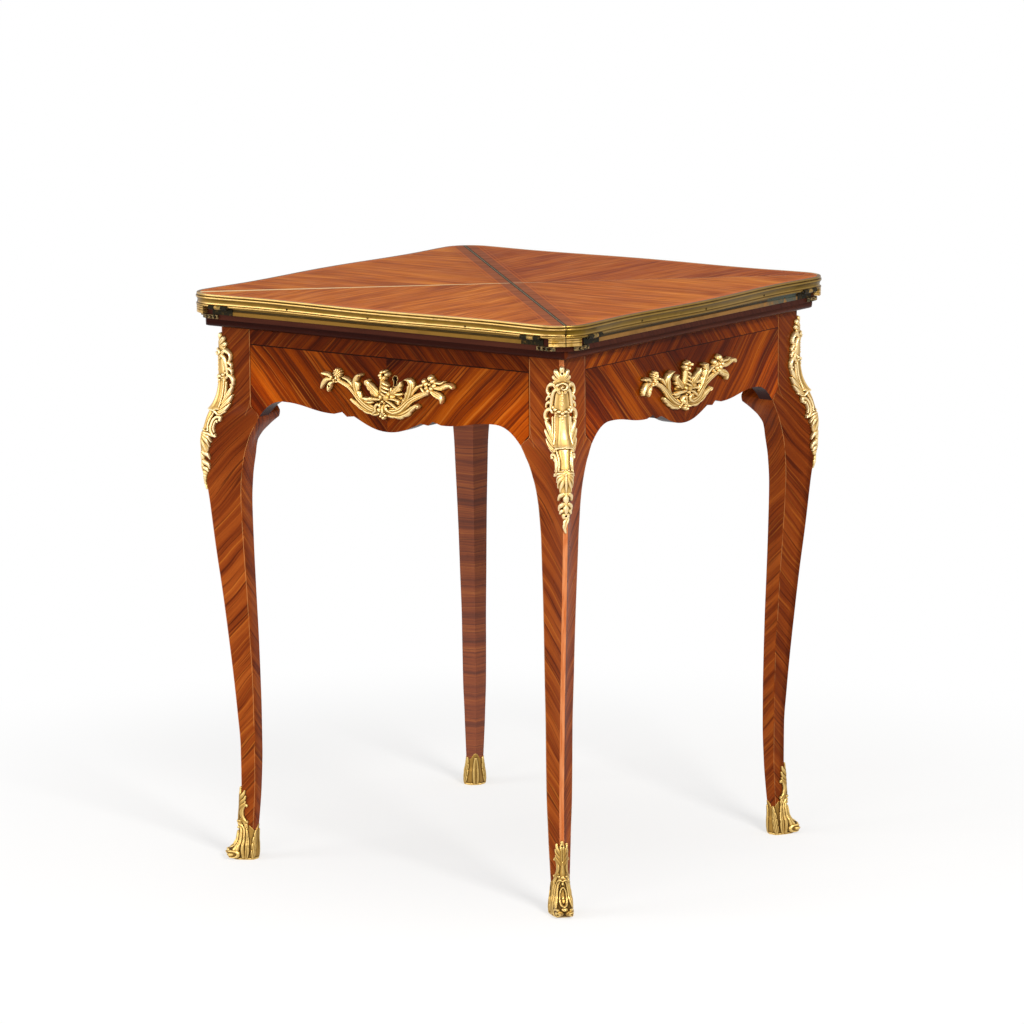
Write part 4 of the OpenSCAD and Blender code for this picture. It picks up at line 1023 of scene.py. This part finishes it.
def strip_brass(name, band, fillet, stain=False):
    """Edge strip: a plain band below, a groove painted dark as the shadow under the rim, and a fillet above;
    verdigris near one end.
    """
    m = Mat(name)
    z = m.split(m.obj())[2]
    cloud = m.noise(m.obj(), 45, 4, 0.6)
    fine = m.noise(m.obj(), 700)
    col = m.mixc(m.step(z, 0.7349, 0.7352), band, "#33260C")
    col = m.mixc(m.step(z, 0.7378, 0.7382), col, fillet)
    col = m.mixc(m.step(cloud, 0.4, 0.75) * 0.45, col, "#5C4316")
    green = 0.0
    if stain:
        spots = m.noise(m.obj(), 110, 3, 0.6)
        green = m.step(m.split(m.obj())[1], 0.1, 0.2) * m.step(spots, 0.38, 0.5)
        col = m.mixc(green * 0.9, col, "#1F3324")
    return m.set(color=col, metal=m.mad(green, -0.7, 0.9), rough=m.mad(cloud, 0.2, 0.3),
                 normal=m.bump(fine, 0.00006, 0.4))


def worn_metal(name, a, b, metal=1.0, rough=0.4, scale=120.0, lo=0.4, hi=0.65, joint=False, lines=()):
    m = Mat(name)
    cloud = m.noise(m.obj(), scale, 4, 0.6)
    fine = m.noise(m.obj(), 800)
    col = m.mixc(m.step(cloud, lo, hi), a, b)
    # dark lines at these heights are painted shading in the grooves
    for at in lines:
        col = m.mixc(m.line(m.split(m.obj())[2], at, 0.0003) * 0.8, col, "#3A2A10")
    if joint:
        col = m.mixc(mitre(m), col, "#0C0804")
    return m.set(color=col, metal=metal, spec=0.1, rough=m.mad(cloud, 0.3, rough - 0.15),
                 normal=m.bump(fine, 0.0001, 0.5))


def baize(name):
    m = Mat(name)
    fuzz = m.noise(m.obj(), 2600, 2, 0.7)
    cloud = m.noise(m.obj(), 14, 3)
    col = m.mixc(m.mad(fuzz, 0.6, cloud * 0.3), "#1E4A2E", "#35704A")
    return m.set(color=col, rough=0.95, spec=0.15, sheen=0.35, sheen_rough=0.5, normal=m.bump(fuzz, 0.0002, 0.6))


# ---------------------------------------------------------------- foot mounts
SHOE = np.array([
    [0, 3.5, 8, -6.5, 12, -19.5, 14.5, -27.5, 7], [3, 9.5, 9.5, -4.5, 12.5, -19.5, 15.5, -28.5, 7.5],
    [8, 12.5, 9.5, -1.5, 12, -19.5, 15.5, -29, 7], [14, 11, 9, -1.5, 11.5, -19.5, 15, -29, 6.5],
    [19, 3.5, 8, -2.5, 11, -19.5, 14.8, -29, 6], [26, 0.5, 5.5, -5.5, 10, -19.5, 14.5, -29.2, 5],
    [40, 0.1, 4.8, -6, 10, -19.5, 14.5, -29.9, 5]])
TOE_R = (FRAME_HALF - 8) * math.sqrt(2)
SHOE_V = -15.0
SHOE_S = 16.0
TURNS = 360
# The shoe's outline passes into the leg's above SHOE_TOP, and the ground lies this far from either (mm)
SHOE_TOP, SHOE_OVER, SHOE_IN, LEG_OUT = 20, 22, 1.5, 0.3


def polar(poly, phi):
    """Distance from the origin to a closed outline in each direction."""
    p = np.asarray(poly, float)
    q = np.roll(p, -1, 0)
    d = np.stack([np.cos(phi), np.sin(phi)], 1)[:, None, :]
    e = (q - p)[None]
    den = d[..., 0] * e[..., 1] - d[..., 1] * e[..., 0]
    with np.errstate(divide="ignore", invalid="ignore"):
        t = (p[None, :, 0] * e[..., 1] - p[None, :, 1] * e[..., 0]) / den
        u = (p[None, :, 0] * d[..., 1] - p[None, :, 1] * d[..., 0]) / den
    ok = (t > 0) & (u >= -1e-9) & (u <= 1 + 1e-9)
    return np.where(ok, t, -1).max(1)


def smooth_ring(r, times):
    for _ in range(times):
        r = (np.roll(r, 1) + 2 * r + np.roll(r, -1)) / 4
    return r


def shoe_put(x, y, h):
    """Lays a height field round the foot: x is the turn about the foot's middle, y the height."""
    levels = np.unique(y)
    phis = np.linspace(-math.pi, math.pi, TURNS + 1)
    table = []
    for z in levels:
        row = [np.interp(z, SHOE[:, 0], SHOE[:, k]) for k in range(1, 9)]
        half = [(row[k] - SHOE_V, row[k + 1]) for k in (0, 2, 4, 6)]
        shoe = smooth_ring(polar(half + [(a, -b) for a, b in half[::-1]], phis), 5)
        p, q, f, r = leg_size(max(z, FOOT_Z))[0]
        face = [(r, r)] + leg_face(p, q, f)
        ring = face + [(b, a) for a, b in face[:0:-1]]
        leg = polar([((a + b) / math.sqrt(2) - TOE_R - SHOE_V, (b - a) / math.sqrt(2)) for a, b in ring], phis)
        k = min(max((z - SHOE_TOP) / SHOE_OVER, 0), 1)
        table.append((shoe - SHOE_IN) * (1 - k) + (leg + LEG_OUT) * k)
    j = np.searchsorted(levels, y)
    a = x / SHOE_S
    pos = (a + math.pi) / (2 * math.pi) * TURNS
    i = np.clip(pos.astype(int), 0, TURNS - 1)
    w = pos - i
    table = np.array(table)
    rad = table[j, i] * (1 - w) + table[j, i + 1] * w + h
    v = TOE_R + SHOE_V + rad * np.cos(a)
    s = rad * np.sin(a)
    return np.stack([(v + s) / math.sqrt(2), (v - s) / math.sqrt(2), y], 1)


def shoe_relief():
    r = math.pi * SHOE_S
    g = Relief(-r, r, 0, 52, r / 100)
    # ground of the shoe, with an upper edge that rises and falls round the foot
    top = 41 + 4.5 * np.cos(g.X / SHOE_S * 4)
    g.H = np.maximum(g.H, np.where(g.Y < top, 0.35, -(g.Y - top) * 2))
    # oval panel between two broad ribs that run down to the toe
    g.tube([(4.5 * math.sin(a), 26.5 + 11 * math.cos(a), 1.2, 3.2) for a in np.linspace(0, 2 * math.pi, 17)])
    g.slab("15 2.2 0.6 0.4, 26 3.6 1.5 0.3, 37 2.6 0.6 0.3")
    g.ball(0, 24.6, 2.4, 2.2, 0.6)
    g.pair("blade", "4.6 45 1.6 2.8, 8.2 40 2.3 3.4, 9.4 31 2.7 3.6, 9.2 21 2.7 3.4, 8.6 13 2.5 3", (0,))
    g.pair("blade", "12.4 43 1.5 2.4, 14.8 36 2.2 2.9, 15.2 26 2.5 3, 14.6 15 2.6 2.9, 15.8 4 2.6 2.6")
    g.pair("tube", "0.4 45 1.7 3.2, 4 46.8 2 3.8, 8.4 45.4 1.9 3.6, 11.4 42 1.6 3.2")
    g.ball(0, 42, 2.6, 4)
    # toe volutes with a knob between them
    g.pair("ball", 6.2, 6.6, 5.6, 3.4)
    g.pair("scroll", 6.4, 6.6, 5.2, 1.2, 100, -1, 1.8, 4.6, 1.9)
    g.ball(0, 12.2, 2.6, 4)
    # side leaf with its volute, and the heel leaf
    g.pair("blade", "20 3 3.4 2.4, 21 14 3.8 3, 21.4 26 3.8 3.2, 20.6 36 3 3.2, 18.4 43 1.6 2.8", (0,), 3, -1)
    g.pair("scroll", 17.8, 44.2, 4.2, 1.1, -60, 1, 1.7, 3.4, 1.6)
    g.pair("blade", "29 2 3.8 2.4, 31 12 4.8 3, 33 23 4.6 3.2, 34.6 32 3.2 3, "
            "35.6 39 1.4 2.6", (0, 0.5), 4, 0, 0.26)
    for heel in (r - 1, 1 - r):
        g.blade([(heel, 2, 4, 2.4), (heel, 16, 4.6, 2.8), (heel, 30, 3.4, 2.4), (heel, 38, 1.6, 2)], (0,))
    w = g.win(-r, r, 0, 1.6)
    g.H[w] = np.maximum(g.H[w], 1.6)
    return g


def leaf_relief():
    """Leaf of the foot mount that climbs the leg's corner."""
    g = Relief(-20, 20, 40, 101, 0.42)
    # fan of fingers at the top
    g.blade("0 62 3.4 3, 0 74 4 3.4, 0 86 3.6 3.4, 0 94 2 2.8", (0,))
    g.ball(0, 95, 2.2, 2.8)
    for z, x, up in ((68, 8.4, 9), (73, 8.8, 11.5), (79, 7.4, 12.5)):
        g.pair("blade", [(1.4, z - 2, 2.2, 3), (x * 0.55, z + up * 0.35, 2.6, 3.4),
                         (x * 0.9, z + up * 0.75, 2.1, 3.2), (x, z + up, 1.3, 2.8)])
        g.pair("ball", x, z + up, 1.7, 3)
    # stem, and a wide smooth scroll each side that opens outwards
    g.slab("48 6.4 3.4 2, 56 4.8 3.6 2.2, 62 4.2 3.4 2.2, 70 4 3 2", 2, 0.4)
    g.pair("blade", "11.6 72.6 1.4 2.8, 9.6 73 2.1 3.2, 6.6 70 2.4 3.4, 5 64 2.5 3.6, 5.8 57.6 2.5 3.6, "
            "9 52 2.4 3.6, 12.4 49.4 1.8 3.2", (0,), depth=0.4)
    g.pair("ball", 11.2, 71.6, 1.9, 3.4).pair("ball", 12, 50.6, 2.2, 3.8)
    g.pair("blade", "5 54 2.2 3.2, 8.6 49.6 2.8 3.6, 11.4 44 2 3")
    g.ball(0, 50.4, 3.2, 5.2).pair("ball", 4, 51.4, 2.1, 4.6)
    g.dent(0, 90, 1.2, 3)
    return g


# ---------------------------------------------------------------- rim moulding
# The top's serpentine edge: out in the middle, in at DIP_X; and the gap along the flaps' joins
BULGE, DIP, DIP_X, SEAM = 3.5, 4.0, 175.0, 0.4
RIM = rows("-6 0, -1.6 0, -0.9 0.25, -0.5 0.9, -0.5 2, -0.8 2.4, -1.7 2.7, -2 3.1, -2.4 4.6, -2.35 5.8, -2 7, "
           "-1.55 8.2, -1 9.2, -0.75 9.5, -0.75 9.75, -0.3 10, -0.1 10.4, -0.05 11.2, -0.1 12, -0.45 12.5, "
           "-1.3 12.7, -1.5 12.95, -1.45 13.3, -1.2 13.6, -1.05 14.3, -1.05 15.2, -1.3 15.75, -1.8 15.9, -6 15.9")


def wave(x):
    a = np.abs(x)
    return np.where(a < DIP_X, (BULGE - DIP) / 2 + (BULGE + DIP) / 2 * np.cos(np.pi * a / DIP_X),
                    -DIP / 2 * (1 + np.cos(np.pi * (a - DIP_X) / (ARC_C - DIP_X))))


def edge_path():
    """Places along the front edge of the top, from mitre to mitre, each with its outward direction."""
    turn = 45 - math.degrees(math.asin(SEAM / 2 / CORNER_R))
    arc = [math.radians(turn * i / 16) for i in range(1, 17)]
    left, right = ([(way * (ARC_C + CORNER_R * math.sin(a)), -ARC_C - CORNER_R * math.cos(a), way * math.sin(a),
                     -math.cos(a)) for a in arc] for way in (-1, 1))
    middle = []
    for x in np.linspace(-ARC_C, ARC_C, 101):
        slope = float(wave(x + 0.5) - wave(x - 0.5))
        k = math.hypot(slope, 1)
        middle.append((x, -HALF - float(wave(x)), -slope / k, -1 / k))
    return left[::-1] + middle + right


def rim_mesh():
    return sweep([[(x + nx * o, y + ny * o, HINGE_Z + 0.1 + h) for o, h in RIM] for x, y, nx, ny in edge_path()],
                 True)


def screw_head(r, h):
    """Countersunk screw head with its slot, facing +Z."""
    slot_w = slot_deep = 0.35
    turns = [2 * math.pi * k / 20 for k in range(20)]
    rings = []
    for rr, z in ((r, -0.4), (r, 0.1), (r * 0.86, h * 0.75), (r * 0.5, h), (0.001, h)):
        ring = [(rr * math.cos(a), rr * math.sin(a)) for a in turns]
        rings.append([(x, y, z - (slot_deep if abs(y) < slot_w and rr < r * 0.9 else 0)) for x, y in ring])
    v, f = sweep(rings)
    return np.array(v), f[:-2]


def stamp(spots, unit):
    """Copies of a small mesh at places: each spot is (origin, outward normal, turn)."""
    uv, uf = unit
    vs, fs = [], []
    for o, n, t in spots:
        rot = Vector(n).normalized().to_track_quat("Z", "Y").to_matrix() @ Matrix.Rotation(t, 3, "Z")
        fs += [tuple(i + len(vs) * len(uv) for i in q) for q in uf]
        vs.append(uv @ np.array(rot).T + np.asarray(o))
    return np.vstack(vs), fs


# ---------------------------------------------------------------- the materials
M = dict(
    gilt=gilt("gilt_cast", "#F0D394", "#C69848", "#52340C", 0.38),
    gilt_chute=gilt("gilt_chute", "#F4DCA8", "#DAB168", "#5E3E10", 0.4),
    gilt_shoe=gilt("gilt_shoe", "#D9B870", "#A57E3C", "#463010", 0.38),
    # the front and back rims take a lit copy of the brass, and the side rims a darker copy in painted shading
    rim_front=rim_brass("rim_brass_lit", "#C4A164", "#8A6826", "#34220C"),
    rim_side=rim_brass("rim_brass_shaded", "#96783C", "#6E5418", "#33230C", "#6A4A26"),
    # the front and back strips are painted darker than the side strips, as shading; the side strips also have
    # verdigris
    strip=strip_brass("strip_brass", "#775620", "#6A5020"),
    strip_side=strip_brass("strip_brass_side", "#96692E", "#6E5224", True),
    # the block's dark lines lie in its grooves, as painted shading
    block=worn_metal("block_brass", "#D0AA64", "#A07A34", 0.92, 0.34, joint=True, lines=(0.7347, 0.7379)),
    hinge=worn_metal("hinge_brass", "#A98546", "#4A4428", 0.9, 0.45, 160),
    verdigris=worn_metal("tarnished_plate", "#1E1A0E", "#5A451E", 0.6, 0.55, 200, 0.5, 0.8),
    eye=worn_metal("tarnished_eye", "#8A7048", "#39382A", 0.8, 0.45, 260, 0.35, 0.65),
    keyhole=gilt("keyhole_ring", "#C7A468", "#7A5C30", "#2C1C0C", 0.42),
    steel=worn_metal("worn_steel", "#8C8A86", "#5A5550", 1.0, 0.38),
    screw=worn_metal("screw_dull", "#4A3818", "#241A0C", 0.9, 0.5),
    # the cornice is dark wood painted darker still as the shading under the rim, its front and back pieces darker
    # than its side pieces
    cornice=plain_wood("cornice_wood", "#200704", "#38140A", 0.3, 0),
    cornice_y=plain_wood("cornice_wood_side", "#341004", "#56240C", 0.3, 1),
    board=plain_wood("board_edge_wood", "#2E120C", "#4A2417", 0.4, 0),
    cloth=baize("green_baize"))
for n, axis in (("oak_x", 0), ("oak_y", 1)):
    M[n] = oak_wood(n, axis, 3.0 * axis)
LEG_PARTS = ("outer", "inner", "flat", "end")
M.update({"leg_" + p: leg_wood("leg_" + p, p, 1.0) for p in LEG_PARTS})


# ---------------------------------------------------------------- dressing the solids
def flat_shade(o, angle=30):
    o.data.polygons.foreach_set("use_smooth", np.ones(len(o.data.polygons), bool))
    o.data.set_sharp_from_angle(angle=math.radians(angle))


for i, side in enumerate(SIDES):
    if i:
        slots(NODES["apron_" + side], face_wood("apron_wood_" + side, i, 1, 2.0 * i, (FRAME_Z - RAIL_H) * MM))
        flat_shade(NODES["apron_" + side])
    slots(NODES["cornice_" + side], M["cornice" if i in (0, 2) else "cornice_y"])
    flat_shade(NODES["cornice_" + side], 20)
    slots(NODES["flap_%s_board" % side], top_wood("top_wood_" + side, i, 1.7 * i))
    flat_shade(NODES["flap_%s_board" % side])
    slots(NODES["flap_%s_hinge_leaves" % side], M["hinge"])
slots(NODES["drawer_front"], face_wood("drawer_wood", 0, 1, 0.4))
flat_shade(NODES["drawer_front"])
slots(NODES["top_rail_front"], face_wood("rail_wood", 0, -1, 6.1, rail=True))
for look, nodes in (
        ("oak_x", "top_rail_core pivot_bearer drawer_back drawer_bottom"),
        ("oak_y", "drawer_runners drawer_kickers drawer_side_left drawer_side_right"),
        ("board", "base_board"), ("strip", "base_strips escutcheon"), ("block", "base_corners"),
        ("verdigris", "base_hinge_leaves"), ("steel", "hinge_pins pivot_bolt pivot_nut lock_bolt"),
        ("hinge", "lock_case")):
    for n in nodes.split():
        slots(NODES[n], M[look])
for n in ("pivot_bolt", "pivot_nut", "hinge_pins"):
    flat_shade(NODES[n])

# ---------------------------------------------------------------- legs, corner mounts and foot mounts
lv, lf, lm, luv = leg_mesh()
chute, leaf, shoe = chute_relief(), leaf_relief(), shoe_relief()
for i, corner in enumerate(CORNERS):
    turn = lambda p, i=i: corner_turn(i, p)
    mesh_obj("fine_leg_" + corner, turn(lv), lf, "frame", [M["leg_" + p] for p in LEG_PARTS], lm,
             luv * MM, ("leg_" + corner,), 24)
    for name, relief, put, look, node in (
            ("fine_chute_", chute, lambda x, y, h: leg_put(0.9 * x, y, h), "gilt_chute", "chute_"),
            ("fine_sabot_leaf_", leaf, leg_put, "gilt_shoe", "sabot_"),
            ("fine_sabot_shoe_", shoe, shoe_put, "gilt_shoe", "sabot_")):
        surface_obj(name + corner, relief, put, "frame", look, turn, (node + corner,))

# ---------------------------------------------------------------- apron mounts
spray = apron_relief()
for i, side in enumerate(SIDES):
    body, node = ("frame", "mount_" + side) if i else ("drawer", "drawer_mount")
    surface_obj("fine_" + node, spray, front_put, body, "gilt", lambda p, i=i: side_turn(i, p), (node,))

# ---------------------------------------------------------------- rims and their screws
SCREW_X = (-291, -137.2, -2.5, 144.1, 291)
SCREW_IN, SCREW_UP, SCREW_R, SCREW_H = 2.3, 5.3, 1.7, 0.3
rv, rf = rim_mesh()
spots = []
for x in SCREW_X:
    nx, ny, o = 0, -1, (x, -HALF - float(wave(x)) + SCREW_IN, HINGE_Z + SCREW_UP)
    if abs(x) > ARC_C:
        a = math.asin((abs(x) - ARC_C) / (CORNER_R - 2.4))
        r = CORNER_R - SCREW_IN
        nx, ny = math.copysign(math.sin(a), x), -math.cos(a)
        o = (math.copysign(ARC_C, x) + nx * r, -ARC_C + ny * r, HINGE_Z + SCREW_UP)
    spots.append((o, (nx, ny, 0), 0.6 * x))
sv, sf = stamp(spots, screw_head(SCREW_R, SCREW_H))
for i, side in enumerate(SIDES):
    look = "rim_side" if i % 2 else "rim_front"
    mesh_obj("fine_rim_" + side, side_turn(i, rv), rf, "flap_" + side, [M[look]],
             replaces=("flap_%s_rim" % side,), sharp=40)
    mesh_obj("rim_screws_" + side, side_turn(i, sv), sf, "flap_" + side, [M["screw"]])

# ---------------------------------------------------------------- edge of the base board, and the keyhole
STRIP = rows("0 729.8, 0.8 729.8, 1 730.1, 1 734.4, 0.7 734.9, 0.15 735.1, 0.15 737.3, 0.6 737.5, 1 737.9, "
             "1 739.3, 0.7 739.6, 0 739.6")
BLOCK = rows("33 730.4, 40.8 730.4, 41 730.6, 41 734, 40.2 734.4, 40.2 735, 41.1 735.4, 41.1 737.2, 40.2 737.6, "
             "40.2 738.2, 41.1 738.5, 41.1 739.6, 40.9 739.8, 33 739.8")
BOARD_HALF = 296
EYE_R, EYE_Z = 34.6, 726.6
STRIP_X = (-228, -76, 76, 228)
BLOCK_TURNS = np.radians(np.linspace(14.65, 44.73, 14))


def eye_put(x, y, h):
    """Round the base board's corner: x from the start of the arc, y the height."""
    a, r = np.maximum(x, 0) / EYE_R, EYE_R + h
    return np.stack([ARC_C + np.minimum(x, 0) + r * np.sin(a), -ARC_C - r * np.cos(a), y], 1)


eyes = Relief(-11, 16, 723.4, 729.6, 0.3)
bar = np.minimum(np.minimum(eyes.X + 10.4, 15.4 - eyes.X), 2.6 - np.abs(eyes.Y - EYE_Z))
eyes.H = np.where(bar > 0, 1.9, LOW)
for x in (-6.6, 0.4, 7.4):
    eyes.pierce(x, EYE_Z, 1.9, 1.6)
strip = sweep([[(x, -BOARD_HALF - u, z) for u, z in STRIP] for x in STRIP_X], True)
for i, side in enumerate(SIDES):
    mesh_obj("fine_strip_" + side, side_turn(i, strip[0]), strip[1], "turning_top",
             [M["strip_side" if i % 2 else "strip"]], replaces=("base_strips",), sharp=30)
    for end, way in (("a", -1), ("b", 1)):
        v, f = sweep([[(way * (ARC_C + r * math.sin(a)), -ARC_C - r * math.cos(a), z) for r, z in BLOCK]
                      for a in BLOCK_TURNS], way > 0)
        mesh_obj("fine_block_%s_%s" % (side, end), side_turn(i, v), f, "turning_top", [M["block"]],
                 replaces=("base_corners",), sharp=30)
        surface_obj("hinge_eyes_%s_%s" % (side, end), eyes, eye_put, "turning_top", "eye",
                    lambda p, i=i, way=way: side_turn(i, p * [way, 1, 1]), flip=way < 0)

KEY_X, KEY_Z = 14.0, 665.1
# The ring's radius and the hole's, how far down each reaches, and half the slot's width
RING_R, HOLE_R, RING_DOWN, HOLE_DOWN, SLOT_HALF = 4.5, 2.0, 10.2, 7.6, 1.15
ring = Relief(KEY_X - 6, KEY_X + 6, KEY_Z - 12, KEY_Z + 6.5, 0.22)
kx, kz = np.abs(ring.X - KEY_X), ring.Y - KEY_Z
wide = np.interp(-kz, [3.2, 4.4, 7, 10], [3.16, 2.9, 3.2, 4.1])
inside = np.minimum(np.where(kz > -3.2, RING_R - np.hypot(kx, kz), wide - kx), kz + RING_DOWN)
hole = np.maximum(HOLE_R - np.hypot(kx, kz), np.where((kz < 0) & (kz > -HOLE_DOWN), SLOT_HALF - kx, -1))
ring.H = np.where((inside > 0) & (hole < 0.02), 0.3 + 0.6 * np.exp(-((inside - 0.5) / 0.4)**2), LOW)
key_ring = surface_obj("fine_escutcheon", ring, front_put, "drawer", "keyhole", replaces=("escutcheon",)).data
# its raised line gets the gilt's painted highlight, and the rest its painted shading
tall = np.zeros(len(key_ring.vertices) * 3, np.float32)
key_ring.vertices.foreach_get("co", tall)
bright = np.where(-tall[1::3] > (FRAME_HALF + 0.55) * MM, -0.5, 0.9)
key_ring.attributes["hollow"].data.foreach_set("value", bright.astype(np.float32))

# ---------------------------------------------------------------- cloths
UNEVEN = 0.03 * MM


def cloth_sheet(name, outline, z_top, z_low, body, node, area):
    """A thin sheet of cloth with a fine uneven surface, held at its edge (outline and heights in metres)."""
    bm = bmesh.new()
    bm.faces.new([bm.verts.new((x, y, z_top)) for x, y in outline])
    me = bpy.data.meshes.new(name)
    bmesh.ops.triangulate(bm, faces=bm.faces[:])
    for _ in range(4):
        bmesh.ops.subdivide_edges(bm, edges=bm.edges[:], cuts=1, use_grid_fill=True)
    bmesh.ops.join_triangles(bm, faces=bm.faces[:], angle_face_threshold=3, angle_shape_threshold=3)
    bm.to_mesh(me)
    bm.free()
    rng = np.random.default_rng(7)
    co = np.zeros(len(me.vertices) * 3, np.float32)
    me.vertices.foreach_get("co", co)
    co = co.reshape(-1, 3)
    ph = rng.uniform(0, 6.28, 4)[:2]
    co[:, 2] += UNEVEN * (np.sin(co[:, 0] * 310 + ph[0]) + np.sin(co[:, 1] * 270 + ph[1]))
    me.vertices.foreach_set("co", co.ravel())
    me.update()
    o = bpy.data.objects.new(name, me)
    bpy.context.scene.collection.objects.link(o)
    sol = o.modifiers.new("thickness", "SOLIDIFY")
    sol.thickness = abs(z_top - z_low)
    sol.offset = -1 if z_top > z_low else 1
    o.data.materials.append(M["cloth"])
    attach(o, body)
    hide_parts(node)


BORDER, CLOTH_U = 30.0 * MM, 262.5 * MM
near = BORDER * math.sqrt(2)
tri = [(near - CLOTH_U, -CLOTH_U, 0), (CLOTH_U - near, -CLOTH_U, 0), (0, -near, 0)]
tri_flat = (2 * (CLOTH_U - near), CLOTH_U - near)
for i, side in enumerate(SIDES):
    node = "flap_%s_cloth" % side
    lo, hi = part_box(node)
    cloth_sheet("fine_cloth_" + side, side_turn(i, tri)[:, :2], lo.z, hi.z, "flap_" + side, node,
                tri_flat[0] * tri_flat[1] / 2)
lo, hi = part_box("base_cloth")
square = [(x * CLOTH_U, y * CLOTH_U) for x, y in ((-1, -1), (1, -1), (1, 1), (-1, 1))]
cloth_sheet("fine_cloth_base", square, hi.z, lo.z, "turning_top", "base_cloth", None)


# ---------------------------------------------------------------- floor, lamps and background
def seen(m):
    """1 for camera, glossy and transmitted rays."""
    path = m.node("LightPath").outputs
    other = m.math("MAXIMUM", path["Is Glossy Ray"], path["Is Transmission Ray"])
    return m.math("MAXIMUM", path["Is Camera Ray"], other)


def floor():
    """Paper that shows white, with the object's soft shadow near it."""
    bpy.ops.mesh.primitive_plane_add(size=40, location=(0, 0, 0))
    o = bpy.context.object
    o.name = "floor"
    m = Mat("floor_paper")
    m.set(color=(0.84, 0.84, 0.84), rough=0.6, spec=0.0)
    x, y, _ = m.split(m.obj())
    away = m.math("SQRT", x * x + y * y)
    # painted shading: a little darker under the table, where light from all round is held off
    glow = m.out("Emission", None, m.mad(m.step(away, 0.6, 0.05), -0.055, 0.63))
    paper = m.out("AddShader", m.out("BsdfDiffuse", (0.37, 0.37, 0.37)), glow)
    shown = m.out("MixShader", m.step(away, 0.5, 1.2), paper, m.out("Emission"))
    m.put(m.end.inputs[0], m.out("MixShader", seen(m), m.s.outputs[0], shown))
    o.data.materials.append(m.m)


def lamp(name, where, size, watts, tint=(1, 1, 1)):
    """A rectangular lamp that faces the middle of the table."""
    data = bpy.data.lights.new(name, "AREA")
    data.shape = "RECTANGLE"
    data.size, data.size_y = size
    data.energy = watts
    data.color = tint
    o = bpy.data.objects.new(name, data)
    o.location = where
    o.rotation_euler = (Vector((0, 0, 0.5)) - Vector(where)).to_track_quat("-Z", "Y").to_euler()
    bpy.context.scene.collection.objects.link(o)


def world():
    """Even light on the object, and white behind it."""
    w = bpy.data.worlds.new("studio")
    bpy.context.scene.world = w
    w.use_nodes = True
    m = Nodes(w.node_tree)
    light = m.out("Background", (1, 0.99, 0.97), 0.5)
    m.node("OutputWorld", m.out("MixShader", seen(m), light, m.out("Background", (1, 1, 1), 1.0)))


floor()
world()
lamp("key", (3.0, -1.6, 2.6), (0.9, 0.9), 105, (1, 0.985, 0.96))
lamp("fill", (-2.6, -3.2, 1.7), (2.2, 2.0), 60)
lamp("front", (0.8, -4.4, 1.2), (2.0, 1.6), 50)
bpy.context.scene.view_settings.view_transform = "Standard"
